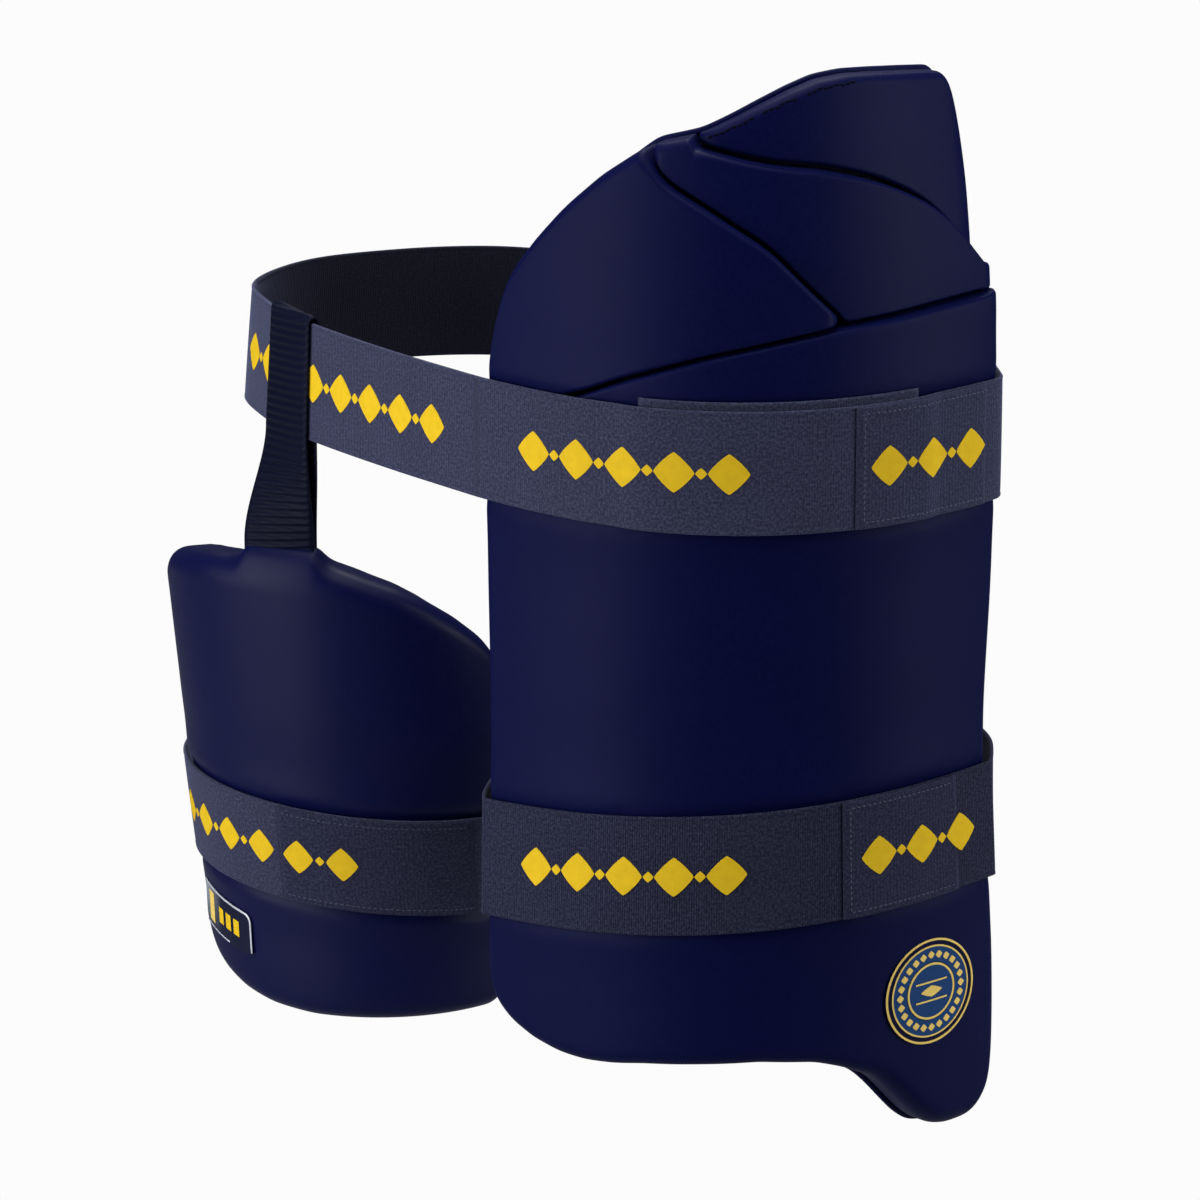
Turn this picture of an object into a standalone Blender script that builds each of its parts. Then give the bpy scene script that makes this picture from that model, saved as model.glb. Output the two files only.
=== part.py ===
"""Cricket thigh guard: an outer pad and an inner thigh pad, hung from a waist strap.

Metres, +Z up. The origin is the middle of the waist, at the height of the waist
strap's centre line. The wearer looks along -Y, so the wearer's left is +X. The
outer pad covers the left hip and thigh, the inner pad the right thigh.
"""
import math

import bmesh
import bpy
from mathutils import Vector

# Driving dimensions
FIT_GAP = 0.0003              # between pieces that touch
FACING = math.radians(40.0)   # the outer pad faces this far round from straight ahead

PAD_HALF_WIDTH = 0.1238       # outer pad, along its curve
PAD_RISE = 0.1525             # top of the hip above the origin
PAD_DROP = 0.2914             # tip of the tongue below the origin
PAD_EDGE_TURN = math.radians(45.0)  # how far the surface has turned at a side edge
PAD_RIDGE = (0.050, -0.152)   # middle of the front: across, behind the waist's middle
PAD_NIP = (0.012, 0.030)      # share drawn in halfway down, towards its front and back edge
NIP_DOWN = 0.46               # where it is drawn in most, as a share of PAD_DROP
NIP_SPREAD = 0.30
PAD_FLARE = 0.048             # share by which its back edge stands out at the bottom
FLARE_DOWN = 0.42             # where the flare starts, as a share of PAD_DROP
FLARE_SPREAD = 0.45

BLOCK_THICKNESS = 0.020       # thigh block and front wing
MID_THICKNESS = 0.016
HIP_THICKNESS = 0.010
HIP_LEAN = 0.013              # the top of the hip leans in by this much
LEAN_FOOT = 0.050             # height where the lean starts
BACKING_THICKNESS = 0.003
GROOVE = 0.0018               # between neighbouring foam panels
BLOCK_ROUND = 0.0060
MID_ROUND = 0.0040
HIP_ROUND = 0.0025

STRAP_WIDTH = 0.050
STRAP_THICKNESS = 0.0020
TAB_THICKNESS = 0.0014
STRAP_OUT = FIT_GAP + 0.5 * STRAP_THICKNESS  # its middle, out from the pad's face
TAB_OUT = 2.0 * FIT_GAP + STRAP_THICKNESS + 0.5 * TAB_THICKNESS
RUN_REACH = 0.978             # share of the pad's half width that a strap lies on
WAIST_HALF_WIDTH = 0.183
WAIST_HALF_DEPTH = 0.108
WAIST_SPLAY = 0.0025          # the loop's lower edge stands out this far at the right hip
WAIST_TAB_REACH = (0.353, 0.890)  # shares of the pad's half width
UNDER_REACH = (-0.343, 0.602)
LIFT_SPREAD = 0.08            # the strap rises over that layer within this share
UNDER_STEP = 0.0032           # how far the lower layer shows above the strap

THIGH_STRAP_DROP = 0.1655
THIGH_TAB_REACH = (0.337, 0.800)
THIGH_TILT = (0.080, -0.050)  # rise along the width, and towards the back
THIGH_LOOP_DEPTH = 0.118      # the loop behind the pad's side edges

INNER_CENTRE = (-0.1115, 0.081)
INNER_RADIUS = 0.0865         # at its top edge
INNER_TAPER = 0.0465          # the radius lost, and the shift across, for each metre down
INNER_TURN = math.radians(-16.3)  # its middle faces this far round from the outer pad
INNER_NIP = 0.0022            # the strap draws the pad in by this much
INNER_NIP_SPREAD = 0.062
INNER_TOP = 0.083             # below the origin
INNER_HEIGHT = 0.204
INNER_HALF_ARC = 0.1017       # along its curve
INNER_THICKNESS = 0.024
INNER_ROUND = 0.0065
INNER_STRAP_WIDTH = 0.043
INNER_STRAP_DROP = 0.2135
INNER_STRAP_TILT = (-0.100, 0.0)
INNER_TAB_REACH = (-0.175, 0.745)

HANGER_WIDTH = 0.036
HANGER_THICKNESS = 0.0020
HANGER_PLACE = 0.145          # share of the way round the waist loop
HANGER_SEAT = -0.095          # share of the inner pad's half arc
HANGER_SWING = 0.86           # share of its free drop in which it turns to the pad

BADGE_RADIUS = 0.0225
BADGE_PLACE = (0.679, -0.779)  # shares of the pad's half width and of its drop
LABEL_SIZE = (0.046, 0.0195)
LABEL_CORNER = 0.004
LABEL_SLOPE = 0.14            # fall along its length
LABEL_PLACE = (-0.629, 0.435)  # shares of the half arc, and of the band below the strap
TRANSFER_THICKNESS = 0.0010   # badge and label

BACKING_CUTS = (34, 12)       # columns and rows
ROUND_STEPS = 3               # in each rounded edge
DISC_STEPS = 28               # round the badge
SIDE_STEPS = 8                # along each side of the label
RUN_COLUMNS = 22              # along a strap on the outer pad
INNER_COLUMNS = 44            # round the inner strap
HANGER_STRIPS = 4             # across the webbing
LEG_ROWS = 8                  # along each of its legs
FOLD_ROWS = 6                 # round its fold
SLICES = 48                   # steps in one sum along a curve
SHARP_TURN = math.radians(40.0)  # a crease from here up stays crisp

# Outline tables: along is a share of PAD_HALF_WIDTH, up a share of PAD_RISE above the
# origin and of PAD_DROP below it.
PAD_TOP = [  # along, up
    (-1.000, 0.000), (-0.986, 0.045), (-0.972, 0.123), (-0.957, 0.207), (-0.942, 0.289),
    (-0.916, 0.373), (-0.879, 0.457), (-0.782, 0.556), (-0.672, 0.648), (-0.537, 0.738),
    (-0.474, 0.770), (-0.373, 0.820), (-0.181, 0.850), (-0.061, 0.884), (0.060, 0.920),
    (0.185, 0.953), (0.314, 0.979), (0.448, 0.987), (0.586, 0.983), (0.730, 0.975),
    (0.890, 0.963), (0.918, 0.950), (0.930, 0.922), (0.936, 0.870), (0.946, 0.770),
    (0.960, 0.643), (0.980, 0.520), (0.997, 0.440), (1.000, 0.330)]
PAD_BOTTOM = [  # along, up
    (-1.000, -0.715), (-0.996, -0.759), (-0.983, -0.792), (-0.940, -0.829),
    (-0.875, -0.849), (-0.781, -0.864), (-0.670, -0.873), (-0.569, -0.875),
    (-0.450, -0.871), (-0.339, -0.864), (-0.132, -0.857), (0.067, -0.852), (0.264, -0.858),
    (0.366, -0.871), (0.480, -0.894), (0.540, -0.916), (0.606, -0.945), (0.668, -0.972),
    (0.736, -0.993), (0.806, -1.000), (0.868, -0.998), (0.906, -0.989), (0.942, -0.972),
    (0.966, -0.952), (0.988, -0.909), (0.999, -0.830), (1.000, -0.790)]
GROOVE_WING = [  # along, up: between the front wing and the mid plate
    (-0.369, 0.823), (-0.340, 0.774), (-0.304, 0.745), (-0.146, 0.682), (-0.058, 0.642),
    (0.086, 0.574), (0.164, 0.512), (0.233, 0.457), (0.336, 0.382)]
GROOVE_HIP = [  # along, up: between the mid plate and the hip plate
    (-0.197, 0.824), (-0.135, 0.818), (-0.013, 0.797), (0.130, 0.778), (0.303, 0.765),
    (0.506, 0.727), (0.611, 0.694), (0.723, 0.652), (0.789, 0.612), (0.877, 0.548),
    (0.962, 0.462)]
GROOVE_BLOCK = [  # along, up: along the top of the thigh block
    (-1.000, 0.036), (-0.941, 0.056), (-0.714, 0.128), (-0.548, 0.175), (-0.402, 0.225),
    (-0.122, 0.297), (0.122, 0.339), (0.336, 0.367), (0.511, 0.375), (0.712, 0.386),
    (1.000, 0.394)]

# Inner pad: along is a share of INNER_HALF_ARC, down a share of INNER_HEIGHT.
INNER_TOP_EDGE = [  # along, down
    (-1.000, 0.140), (-0.990, 0.080), (-0.950, 0.052), (-0.870, 0.027), (-0.700, 0.012),
    (-0.470, 0.000), (0.100, 0.000), (0.180, 0.004), (0.260, 0.014), (0.340, 0.028),
    (0.455, 0.047), (0.590, 0.079), (0.730, 0.120), (0.865, 0.170), (0.950, 0.220),
    (0.988, 0.260), (1.000, 0.310)]
INNER_BOTTOM_EDGE = [  # along, down
    (-1.000, 0.750), (-0.992, 0.820), (-0.972, 0.865), (-0.925, 0.895), (-0.870, 0.918),
    (-0.783, 0.942), (-0.685, 0.960), (-0.525, 0.980), (-0.345, 0.993), (-0.100, 1.000),
    (0.860, 1.000), (0.940, 0.985), (0.985, 0.945), (1.000, 0.880)]

# Waist loop beyond the pad: across and ahead are shares of the waist's half width and
# half depth, from the pad's back edge round behind the wearer to its front edge.
WAIST_ROUTE = [  # across, ahead
    (0.874, -0.420), (0.760, -0.609), (0.565, -0.804), (0.261, -0.915), (-0.048, -0.960),
    (-0.380, -0.910), (-0.617, -0.814), (-0.765, -0.690), (-0.895, -0.430),
    (-0.986, -0.050), (-0.930, 0.370), (-0.755, 0.610), (-0.540, 0.768), (-0.221, 0.906)]
# Thigh loop behind the outer pad: across is a share of the pad's half width from its
# middle, behind a share of THIGH_LOOP_DEPTH past the side edges.
THIGH_ROUTE = [  # across, behind
    (0.838, 0.12), (0.838, 0.36), (0.755, 0.66), (0.510, 0.90), (0.160, 1.00),
    (-0.220, 0.94), (-0.555, 0.70), (-0.775, 0.40), (-0.832, 0.14)]

NAVY = (0.010, 0.012, 0.050)
NAVY_DEEP = (0.006, 0.008, 0.036)
GREY_NAVY = (0.035, 0.036, 0.070)


def clear_scene():
    for item in list(bpy.data.objects):
        bpy.data.objects.remove(item, do_unlink=True)


def new_collection(name):
    collection = bpy.data.collections.new(name)
    bpy.context.scene.collection.children.link(collection)
    return collection


def material(name, colour, roughness, metallic=0.0):
    made = bpy.data.materials.new(name)
    made.use_nodes = True
    shader = made.node_tree.nodes["Principled BSDF"]
    shader.inputs["Base Color"].default_value = (*colour, 1.0)
    shader.inputs["Roughness"].default_value = roughness
    shader.inputs["Metallic"].default_value = metallic
    return made


def read_table(table, along):
    """Second column at along, on straight lines between the table's rows."""
    if along <= table[0][0]:
        return table[0][1]
    for (start, low), (end, high) in zip(table, table[1:]):
        if along <= end:
            return low + (high - low) * (along - start) / (end - start)
    return table[-1][1]


def height_of(share):
    """Height of a share of the rise above the origin, or of the drop below it."""
    return share * (PAD_RISE if share > 0.0 else PAD_DROP)


def facing_frame(across, behind, height):
    """A point given across and behind the outer pad's facing, in the part's frame."""
    across_way = Vector((math.cos(FACING), math.sin(FACING), 0.0))
    behind_way = Vector((-math.sin(FACING), math.cos(FACING), 0.0))
    return across_way * across + behind_way * behind + Vector((0.0, 0.0, height))


def smooth_step(value):
    held = min(1.0, max(0.0, value))
    return held * held * (3.0 - 2.0 * held)


def bump(value):
    """One in the middle, nothing from one on either side."""
    return max(0.0, 1.0 - value * value) ** 2


def pad_turn(along):
    """How far the outer pad's surface has turned from its middle."""
    share = max(-1.0, min(1.0, along / PAD_HALF_WIDTH))
    return PAD_EDGE_TURN * math.sin(0.5 * math.pi * share)


def pad_point(along, height, out):
    """A point out from the outer pad's face, along is measured round its curve."""
    down = -height / PAD_DROP
    nip = (PAD_NIP[1] if along > 0.0 else PAD_NIP[0]) * bump((down - NIP_DOWN) / NIP_SPREAD)
    flare = smooth_step((down - FLARE_DOWN) / FLARE_SPREAD) * smooth_step(along / PAD_HALF_WIDTH)
    reach = along * (1.0 - nip + PAD_FLARE * flare)
    step = reach / SLICES
    across = sum(math.cos(pad_turn((i + 0.5) * step)) for i in range(SLICES)) * step
    behind = sum(math.sin(pad_turn((i + 0.5) * step)) for i in range(SLICES)) * step
    turn = pad_turn(reach)
    lean_share = max(0.0, (height - LEAN_FOOT) / (PAD_RISE - LEAN_FOOT))
    inward = HIP_LEAN * lean_share ** 1.5 - out
    return facing_frame(PAD_RIDGE[0] + across - inward * math.sin(turn),
                        PAD_RIDGE[1] + behind + inward * math.cos(turn), height)


def inner_frame(along, height):
    """Middle of the inner pad's round at a height, and the way out at a place on it."""
    fall = -INNER_TOP - height
    middle = facing_frame(INNER_CENTRE[0] + INNER_TAPER * fall, INNER_CENTRE[1], height)
    turn = INNER_TURN + along / INNER_RADIUS
    way_out = facing_frame(math.sin(turn), -math.cos(turn), 0.0)
    nip = INNER_NIP * bump((height + INNER_STRAP_DROP) / INNER_NIP_SPREAD)
    return middle, way_out, INNER_RADIUS - INNER_TAPER * fall - nip


def inner_point(along, height, out):
    middle, way_out, radius = inner_frame(along, height)
    return middle + way_out * (radius + out)


def spread(low, high, count):
    """Places from low to high, closer together towards both ends."""
    middle, half = 0.5 * (low + high), 0.5 * (high - low)
    return [middle - half * math.cos(math.pi * i / count) for i in range(count + 1)]


def link_object(collection, name, mesh, look):
    made = bpy.data.objects.new(name, mesh)
    made.data.materials.append(look)
    collection.objects.link(made)
    return made


def grid_mesh(name, lines, closed=False):
    """An open sheet of quads through lines of points, or a closed ring of them."""
    rows = len(lines[0])
    points = [point for line in lines for point in line]
    spans = len(lines) if closed else len(lines) - 1
    faces = []
    for i in range(spans):
        start, end = i * rows, (i + 1) % len(lines) * rows
        for j in range(rows - 1):
            faces.append((start + j, end + j, end + j + 1, start + j + 1))
    mesh = bpy.data.meshes.new(name)
    mesh.from_pydata(points, [], faces)
    mesh.update()
    return mesh


def thicken(item, thickness, offset):
    shell = item.modifiers.new("thickness", "SOLIDIFY")
    shell.thickness = thickness
    shell.offset = offset
    shell.use_even_offset = True


def shade(item):
    item.data.shade_smooth()
    item.data.set_sharp_from_angle(angle=SHARP_TURN)


def rim_fall(distance, rounding):
    """How far a rounded face has dropped at a distance in from its edge."""
    short = rounding - min(rounding, max(0.0, distance))
    return rounding - math.sqrt(rounding ** 2 - short ** 2)


def panel_section(low, high, front, back, rounding, rows):
    """Closed outline of a panel cut across: height and out, with rounded front edges."""
    corner = min(rounding, 0.45 * (high - low))
    arcs = [0.5 * math.pi * i / ROUND_STEPS for i in range(ROUND_STEPS + 1)]
    drop = front - corner
    foot = [(low + corner * (1.0 - math.cos(turn)), drop + corner * math.sin(turn))
            for turn in arcs]
    head = [(low + high - height, out) for height, out in reversed(foot)]
    shares = [i / rows for i in range(1, rows)]
    flat = high - low - 2.0 * corner
    face = [(low + corner + flat * share, front) for share in shares]
    rear = [(high + (low - high) * share, back) for share in (0.0, *shares, 1.0)]
    return foot + face + head + rear


def add_panel(collection, look, name, place, reach, edges, faces, rounding, cuts):
    """A foam panel lofted through sections: edges gives its low and high border at each
    place along it, and faces how far out its front and back lie."""
    front, back = faces
    columns, rows = cuts
    mesh = bmesh.new()
    rings = []
    for along in spread(*reach, columns):
        low, high = edges(along)
        to_end = min(along - reach[0], reach[1] - along)
        level = front - rim_fall(to_end, rounding)
        section = panel_section(low, high, level, back, rounding, rows)
        rings.append([mesh.verts.new(place(along, height, out)) for height, out in section])
    for ring, following in zip(rings, rings[1:]):
        for i in range(len(ring)):
            j = (i + 1) % len(ring)
            mesh.faces.new((ring[i], ring[j], following[j], following[i]))
    mesh.faces.new(rings[0])
    mesh.faces.new(rings[-1])
    bmesh.ops.recalc_face_normals(mesh, faces=mesh.faces)
    data = bpy.data.meshes.new(name)
    mesh.to_mesh(data)
    mesh.free()
    panel = link_object(collection, name, data, look)
    shade(panel)
    return panel


def add_band(collection, look, name, lines, thickness, closed):
    """A strap: each line runs across its width."""
    band = link_object(collection, name, grid_mesh(name, lines, closed), look)
    thicken(band, thickness, 0.0)
    shade(band)
    return band


def top_edge(along):
    return height_of(read_table(PAD_TOP, along / PAD_HALF_WIDTH))


def bottom_edge(along):
    return height_of(read_table(PAD_BOTTOM, along / PAD_HALF_WIDTH))


def groove(table, along):
    return height_of(read_table(table, along / PAD_HALF_WIDTH))


def block_edges(along):
    line = groove(GROOVE_BLOCK, along) - 0.5 * GROOVE
    return bottom_edge(along), min(line, top_edge(along))


def wing_edges(along):
    high = top_edge(along)
    if along > GROOVE_WING[0][0] * PAD_HALF_WIDTH:
        high = min(high, groove(GROOVE_WING, along) - 0.5 * GROOVE)
    return groove(GROOVE_BLOCK, along) + 0.5 * GROOVE, high


def mid_edges(along):
    high = top_edge(along)
    if along > GROOVE_HIP[0][0] * PAD_HALF_WIDTH:
        high = min(high, groove(GROOVE_HIP, along) - 0.5 * GROOVE)
    low = groove(GROOVE_BLOCK, along)
    if along < GROOVE_WING[-1][0] * PAD_HALF_WIDTH:
        low = groove(GROOVE_WING, along)
    return low + 0.5 * GROOVE, high


def hip_edges(along):
    return groove(GROOVE_HIP, along) + 0.5 * GROOVE, top_edge(along)


def add_backing(collection, look):
    """The thin layer under all the foam, with the pad's whole outline."""
    out = -BLOCK_THICKNESS - FIT_GAP
    lines = []
    columns, rows = BACKING_CUTS
    for along in spread(-PAD_HALF_WIDTH, PAD_HALF_WIDTH, columns):
        low, high = bottom_edge(along), top_edge(along)
        lines.append([pad_point(along, low + (high - low) * i / rows, out)
                      for i in range(rows + 1)])
    backing = link_object(collection, "backing", grid_mesh("backing", lines), look)
    thicken(backing, BACKING_THICKNESS, -1.0)
    shade(backing)


def add_outer_pad(collection):
    """The backing and the four foam panels on it."""
    foam = material("foam cover", NAVY, 0.55)
    add_backing(collection, material("backing cloth", NAVY_DEEP, 0.7))
    panels = [  # name, reach as shares of the half width, edges, thickness, rounding, cuts
        ("thigh_block", (-1.0, 1.0), block_edges, BLOCK_THICKNESS, BLOCK_ROUND, (34, 8)),
        ("front_wing", (-0.985, 0.320), wing_edges, BLOCK_THICKNESS, BLOCK_ROUND, (16, 4)),
        ("mid_plate", (-0.345, 0.994), mid_edges, MID_THICKNESS, MID_ROUND, (18, 4)),
        ("hip_plate", (-0.188, 0.970), hip_edges, HIP_THICKNESS, HIP_ROUND, (16, 4))]
    for name, shares, edges, thickness, rounding, cuts in panels:
        reach = (shares[0] * PAD_HALF_WIDTH, shares[1] * PAD_HALF_WIDTH)
        faces = (thickness - BLOCK_THICKNESS, -BLOCK_THICKNESS)
        add_panel(collection, foam, name, pad_point, reach, edges, faces, rounding, cuts)


def inner_edges(along):
    share = along / INNER_HALF_ARC
    low = -INNER_TOP - INNER_HEIGHT * read_table(INNER_BOTTOM_EDGE, share)
    high = -INNER_TOP - INNER_HEIGHT * read_table(INNER_TOP_EDGE, share)
    return low, high


def add_inner_pad(collection):
    foam = material("inner pad cover", NAVY, 0.6)
    reach = (INNER_TOP_EDGE[0][0] * INNER_HALF_ARC, INNER_HALF_ARC)
    add_panel(collection, foam, "inner_pad", inner_point, reach, inner_edges,
              (0.0, -INNER_THICKNESS), INNER_ROUND, (22, 7))


def curve_through(points, steps):
    """A smooth line through points, with the given number of steps in each span."""
    line = []
    for i in range(1, len(points) - 2):
        before, start, end, after = points[i - 1:i + 3]
        for j in range(steps):
            t = j / steps
            line.append(0.5 * (2.0 * start + (end - before) * t
                               + (2.0 * before - 5.0 * start + 4.0 * end - after) * t * t
                               + (3.0 * start - before - 3.0 * end + after) * t ** 3))
    return line


def strap_lift(along):
    """Extra height of the waist strap over the layer under it."""
    into = min(along / PAD_HALF_WIDTH - UNDER_REACH[0], UNDER_REACH[1] - along / PAD_HALF_WIDTH)
    return (TAB_THICKNESS + FIT_GAP) * smooth_step(1.0 + into / LIFT_SPREAD)


def no_lift(along):
    return 0.0


def at_waist(along):
    return 0.0


def over_pad(first, last, level, out, lift=no_lift):
    """Points across the outer pad's face at the height that level gives for each place
    along it, with the same columns for every layer."""
    columns = [RUN_REACH * (2.0 * i / RUN_COLUMNS - 1.0) for i in range(RUN_COLUMNS + 1)]
    points = []
    for share in columns:
        along = share * PAD_HALF_WIDTH
        points.append(pad_point(along, level(along), out + lift(along)))
    run = []
    for i in range(RUN_COLUMNS):
        start, end = columns[i], columns[i + 1]
        if end <= first or start >= last:
            continue
        if not run:
            run.append(points[i].lerp(points[i + 1], (max(first, start) - start) / (end - start)))
        run.append(points[i].lerp(points[i + 1], (min(last, end) - start) / (end - start)))
    return run


def waist_loop():
    """The middle line of the whole waist strap, in plan."""
    front = over_pad(-RUN_REACH, RUN_REACH, at_waist, STRAP_OUT, strap_lift)
    route = [Vector((across * WAIST_HALF_WIDTH, -ahead * WAIST_HALF_DEPTH, 0.0))
             for across, ahead in WAIST_ROUTE]
    guides = [front[-2], front[-1], *route, front[0], front[1]]
    return front[:-1] + curve_through(guides, 3)


def loop_length(line):
    return sum((end - start).length for start, end in zip(line, line[1:] + line[:1]))


def upright(point, low, high):
    """A line across a strap's width that stands upright in plan point."""
    return [Vector((point.x, point.y, low)), Vector((point.x, point.y, high))]


def splayed(point, height):
    """A plan point of the waist loop moved for its height: out below, in above."""
    share = smooth_step(-point.x / WAIST_HALF_WIDTH)
    level = max(-1.0, min(1.0, 2.0 * height / STRAP_WIDTH))
    scale = 1.0 - WAIST_SPLAY * share * level / WAIST_HALF_WIDTH
    return Vector((point.x * scale, point.y * scale, height))


def add_waist_strap(collection):
    elastic = material("waist elastic", GREY_NAVY, 0.85)
    half = 0.5 * STRAP_WIDTH
    lines = [[splayed(point, -half), splayed(point, half)] for point in waist_loop()]
    add_band(collection, elastic, "waist_strap", lines, STRAP_THICKNESS, True)

    layer = over_pad(*UNDER_REACH, at_waist, FIT_GAP + 0.5 * TAB_THICKNESS)
    add_band(collection, elastic, "waist_under_layer",
             [upright(point, -half, half + UNDER_STEP) for point in layer], TAB_THICKNESS, False)
    tab = over_pad(*WAIST_TAB_REACH, at_waist, TAB_OUT, strap_lift)
    add_band(collection, elastic, "waist_tab", [upright(point, -half, half) for point in tab],
             TAB_THICKNESS, False)


def tilted(point, middle, half, tilt):
    """A line across a strap that rises across the pad and towards the back."""
    across = point.x * math.cos(FACING) + point.y * math.sin(FACING) - middle[0]
    behind = -point.x * math.sin(FACING) + point.y * math.cos(FACING) - middle[1]
    rise = tilt[0] * across + tilt[1] * behind
    return rise - half, rise + half


def thigh_border(side):
    """Height along the pad of the thigh strap's lower border (-1) or upper border (1)."""
    def level(along):
        return THIGH_TILT[0] * along - THIGH_STRAP_DROP + side * 0.5 * STRAP_WIDTH
    return level


def thigh_loop(side):
    """The whole thigh strap's middle line at its lower (-1) or upper (1) border."""
    front = over_pad(-RUN_REACH, RUN_REACH, thigh_border(side), STRAP_OUT)
    edge_behind = -front[0].x * math.sin(FACING) + front[0].y * math.cos(FACING)
    route = [facing_frame(PAD_RIDGE[0] + across * PAD_HALF_WIDTH,
                          edge_behind + behind * THIGH_LOOP_DEPTH, 0.0)
             for across, behind in THIGH_ROUTE]
    guides = [front[-2], front[-1], *route, front[0], front[1]]
    return front[:-1] + curve_through(guides, 4)


def thigh_line(low_point, high_point):
    low = tilted(low_point, PAD_RIDGE, 0.5 * STRAP_WIDTH, THIGH_TILT)[0]
    high = tilted(high_point, PAD_RIDGE, 0.5 * STRAP_WIDTH, THIGH_TILT)[1]
    return [Vector((low_point.x, low_point.y, low - THIGH_STRAP_DROP)),
            Vector((high_point.x, high_point.y, high - THIGH_STRAP_DROP))]


def add_thigh_strap(collection):
    elastic = material("thigh elastic", GREY_NAVY, 0.85)
    lines = [thigh_line(*pair) for pair in zip(thigh_loop(-1), thigh_loop(1))]
    add_band(collection, elastic, "thigh_strap", lines, STRAP_THICKNESS, True)
    borders = [over_pad(*THIGH_TAB_REACH, thigh_border(side), TAB_OUT) for side in (-1, 1)]
    lines = [thigh_line(*pair) for pair in zip(*borders)]
    add_band(collection, elastic, "thigh_tab", lines, TAB_THICKNESS, False)


def inner_strap_line(along, out):
    """A line across the inner strap, on the cone that the pad's face lies on."""
    flat = inner_point(along, -INNER_STRAP_DROP, out)
    low, high = tilted(flat, INNER_CENTRE, 0.5 * INNER_STRAP_WIDTH, INNER_STRAP_TILT)
    return [inner_point(along, low - INNER_STRAP_DROP, out),
            inner_point(along, high - INNER_STRAP_DROP, out)]


def add_inner_strap(collection):
    elastic = material("inner elastic", GREY_NAVY, 0.85)
    step = 2.0 * math.pi * INNER_RADIUS / INNER_COLUMNS
    lines = [inner_strap_line(step * i, STRAP_OUT) for i in range(INNER_COLUMNS)]
    add_band(collection, elastic, "inner_strap", lines, STRAP_THICKNESS, True)
    start, end = (round(share * INNER_HALF_ARC / step) for share in INNER_TAB_REACH)
    tab = [inner_strap_line(step * i, TAB_OUT) for i in range(start, end + 1)]
    add_band(collection, elastic, "inner_tab", tab, TAB_THICKNESS, False)


def point_on_loop(line, distance):
    """The point this far back along the loop from its start, and the way out there."""
    ring = [line[0]] + line[:0:-1]
    for start, end in zip(ring, ring[1:]):
        span = (end - start).length
        if distance <= span:
            break
        distance -= span
    way = (end - start).normalized()
    return start + way * distance, Vector((-way.y, way.x, 0.0))


def add_hanger(collection):
    """Webbing folded over the waist strap, with both legs down to the inner pad's top."""
    webbing = material("hanger webbing", NAVY_DEEP, 0.9)
    loop = waist_loop()
    fold = 0.5 * STRAP_THICKNESS + FIT_GAP + 0.5 * HANGER_THICKNESS
    fold_foot = 0.5 * STRAP_WIDTH
    seat_along = HANGER_SEAT * INNER_HALF_ARC
    seat_height = FIT_GAP - INNER_TOP

    rows = []  # height, how far out from the middle
    for i in range(LEG_ROWS + 1):
        rows.append((seat_height + (fold_foot - seat_height) * i / LEG_ROWS, fold))
    for i in range(1, FOLD_ROWS):
        turn = math.pi * i / FOLD_ROWS
        rows.append((fold_foot + fold * math.sin(turn), fold * math.cos(turn)))
    for i in range(LEG_ROWS + 1):
        rows.append((fold_foot + (seat_height - fold_foot) * i / LEG_ROWS, -fold))

    lines = []
    for height, out in rows:
        share = smooth_step((fold_foot + height) / (fold_foot + seat_height) / HANGER_SWING)
        line = []
        for i in range(HANGER_STRIPS + 1):
            across = (i / HANGER_STRIPS - 0.5) * HANGER_WIDTH
            top, top_out = point_on_loop(loop, HANGER_PLACE * loop_length(loop) + across)
            seat = inner_point(seat_along - across, -INNER_TOP, -0.5 * INNER_THICKNESS)
            seat_out = inner_frame(seat_along - across, -INNER_TOP)[1]
            middle = top.lerp(seat, share) + top_out.lerp(seat_out, share).normalized() * out
            line.append(splayed(middle, height))
        lines.append(line)
    add_band(collection, webbing, "hanger", lines, HANGER_THICKNESS, False)


def add_transfer(collection, look, name, outline, place):
    """A thin plate with a given outline, laid on a curved face."""
    rings = [[(x * share, y * share) for x, y in outline] for share in (1.0, 0.66, 0.33)]
    count = len(outline)
    points = [place(x, y) for ring in rings for x, y in ring] + [place(0.0, 0.0)]
    faces = []
    for ring in range(2):
        for i in range(count):
            j = (i + 1) % count
            start, inside = ring * count, (ring + 1) * count
            faces.append((start + i, start + j, inside + j, inside + i))
    faces += [(2 * count + i, 2 * count + (i + 1) % count, 3 * count) for i in range(count)]
    mesh = bpy.data.meshes.new(name)
    mesh.from_pydata(points, [], faces)
    plate = link_object(collection, name, mesh, look)
    thicken(plate, TRANSFER_THICKNESS, 1.0)
    return plate


def rounded_plate(half_width, half_height, corner):
    """Outline of a plate with rounded corners, with steps along its long sides."""
    outline = []
    for quarter, (sx, sy) in enumerate(((1, 1), (-1, 1), (-1, -1), (1, -1))):
        for i in range(ROUND_STEPS + 1):
            turn = 0.5 * math.pi * (quarter + i / ROUND_STEPS)
            outline.append((sx * (half_width - corner) + corner * math.cos(turn),
                            sy * (half_height - corner) + corner * math.sin(turn)))
        if sx == sy:
            for i in range(1, SIDE_STEPS):
                across = (half_width - corner) * (1.0 - 2.0 * i / SIDE_STEPS)
                outline.append((sx * across, sy * half_height))
    return outline


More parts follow.
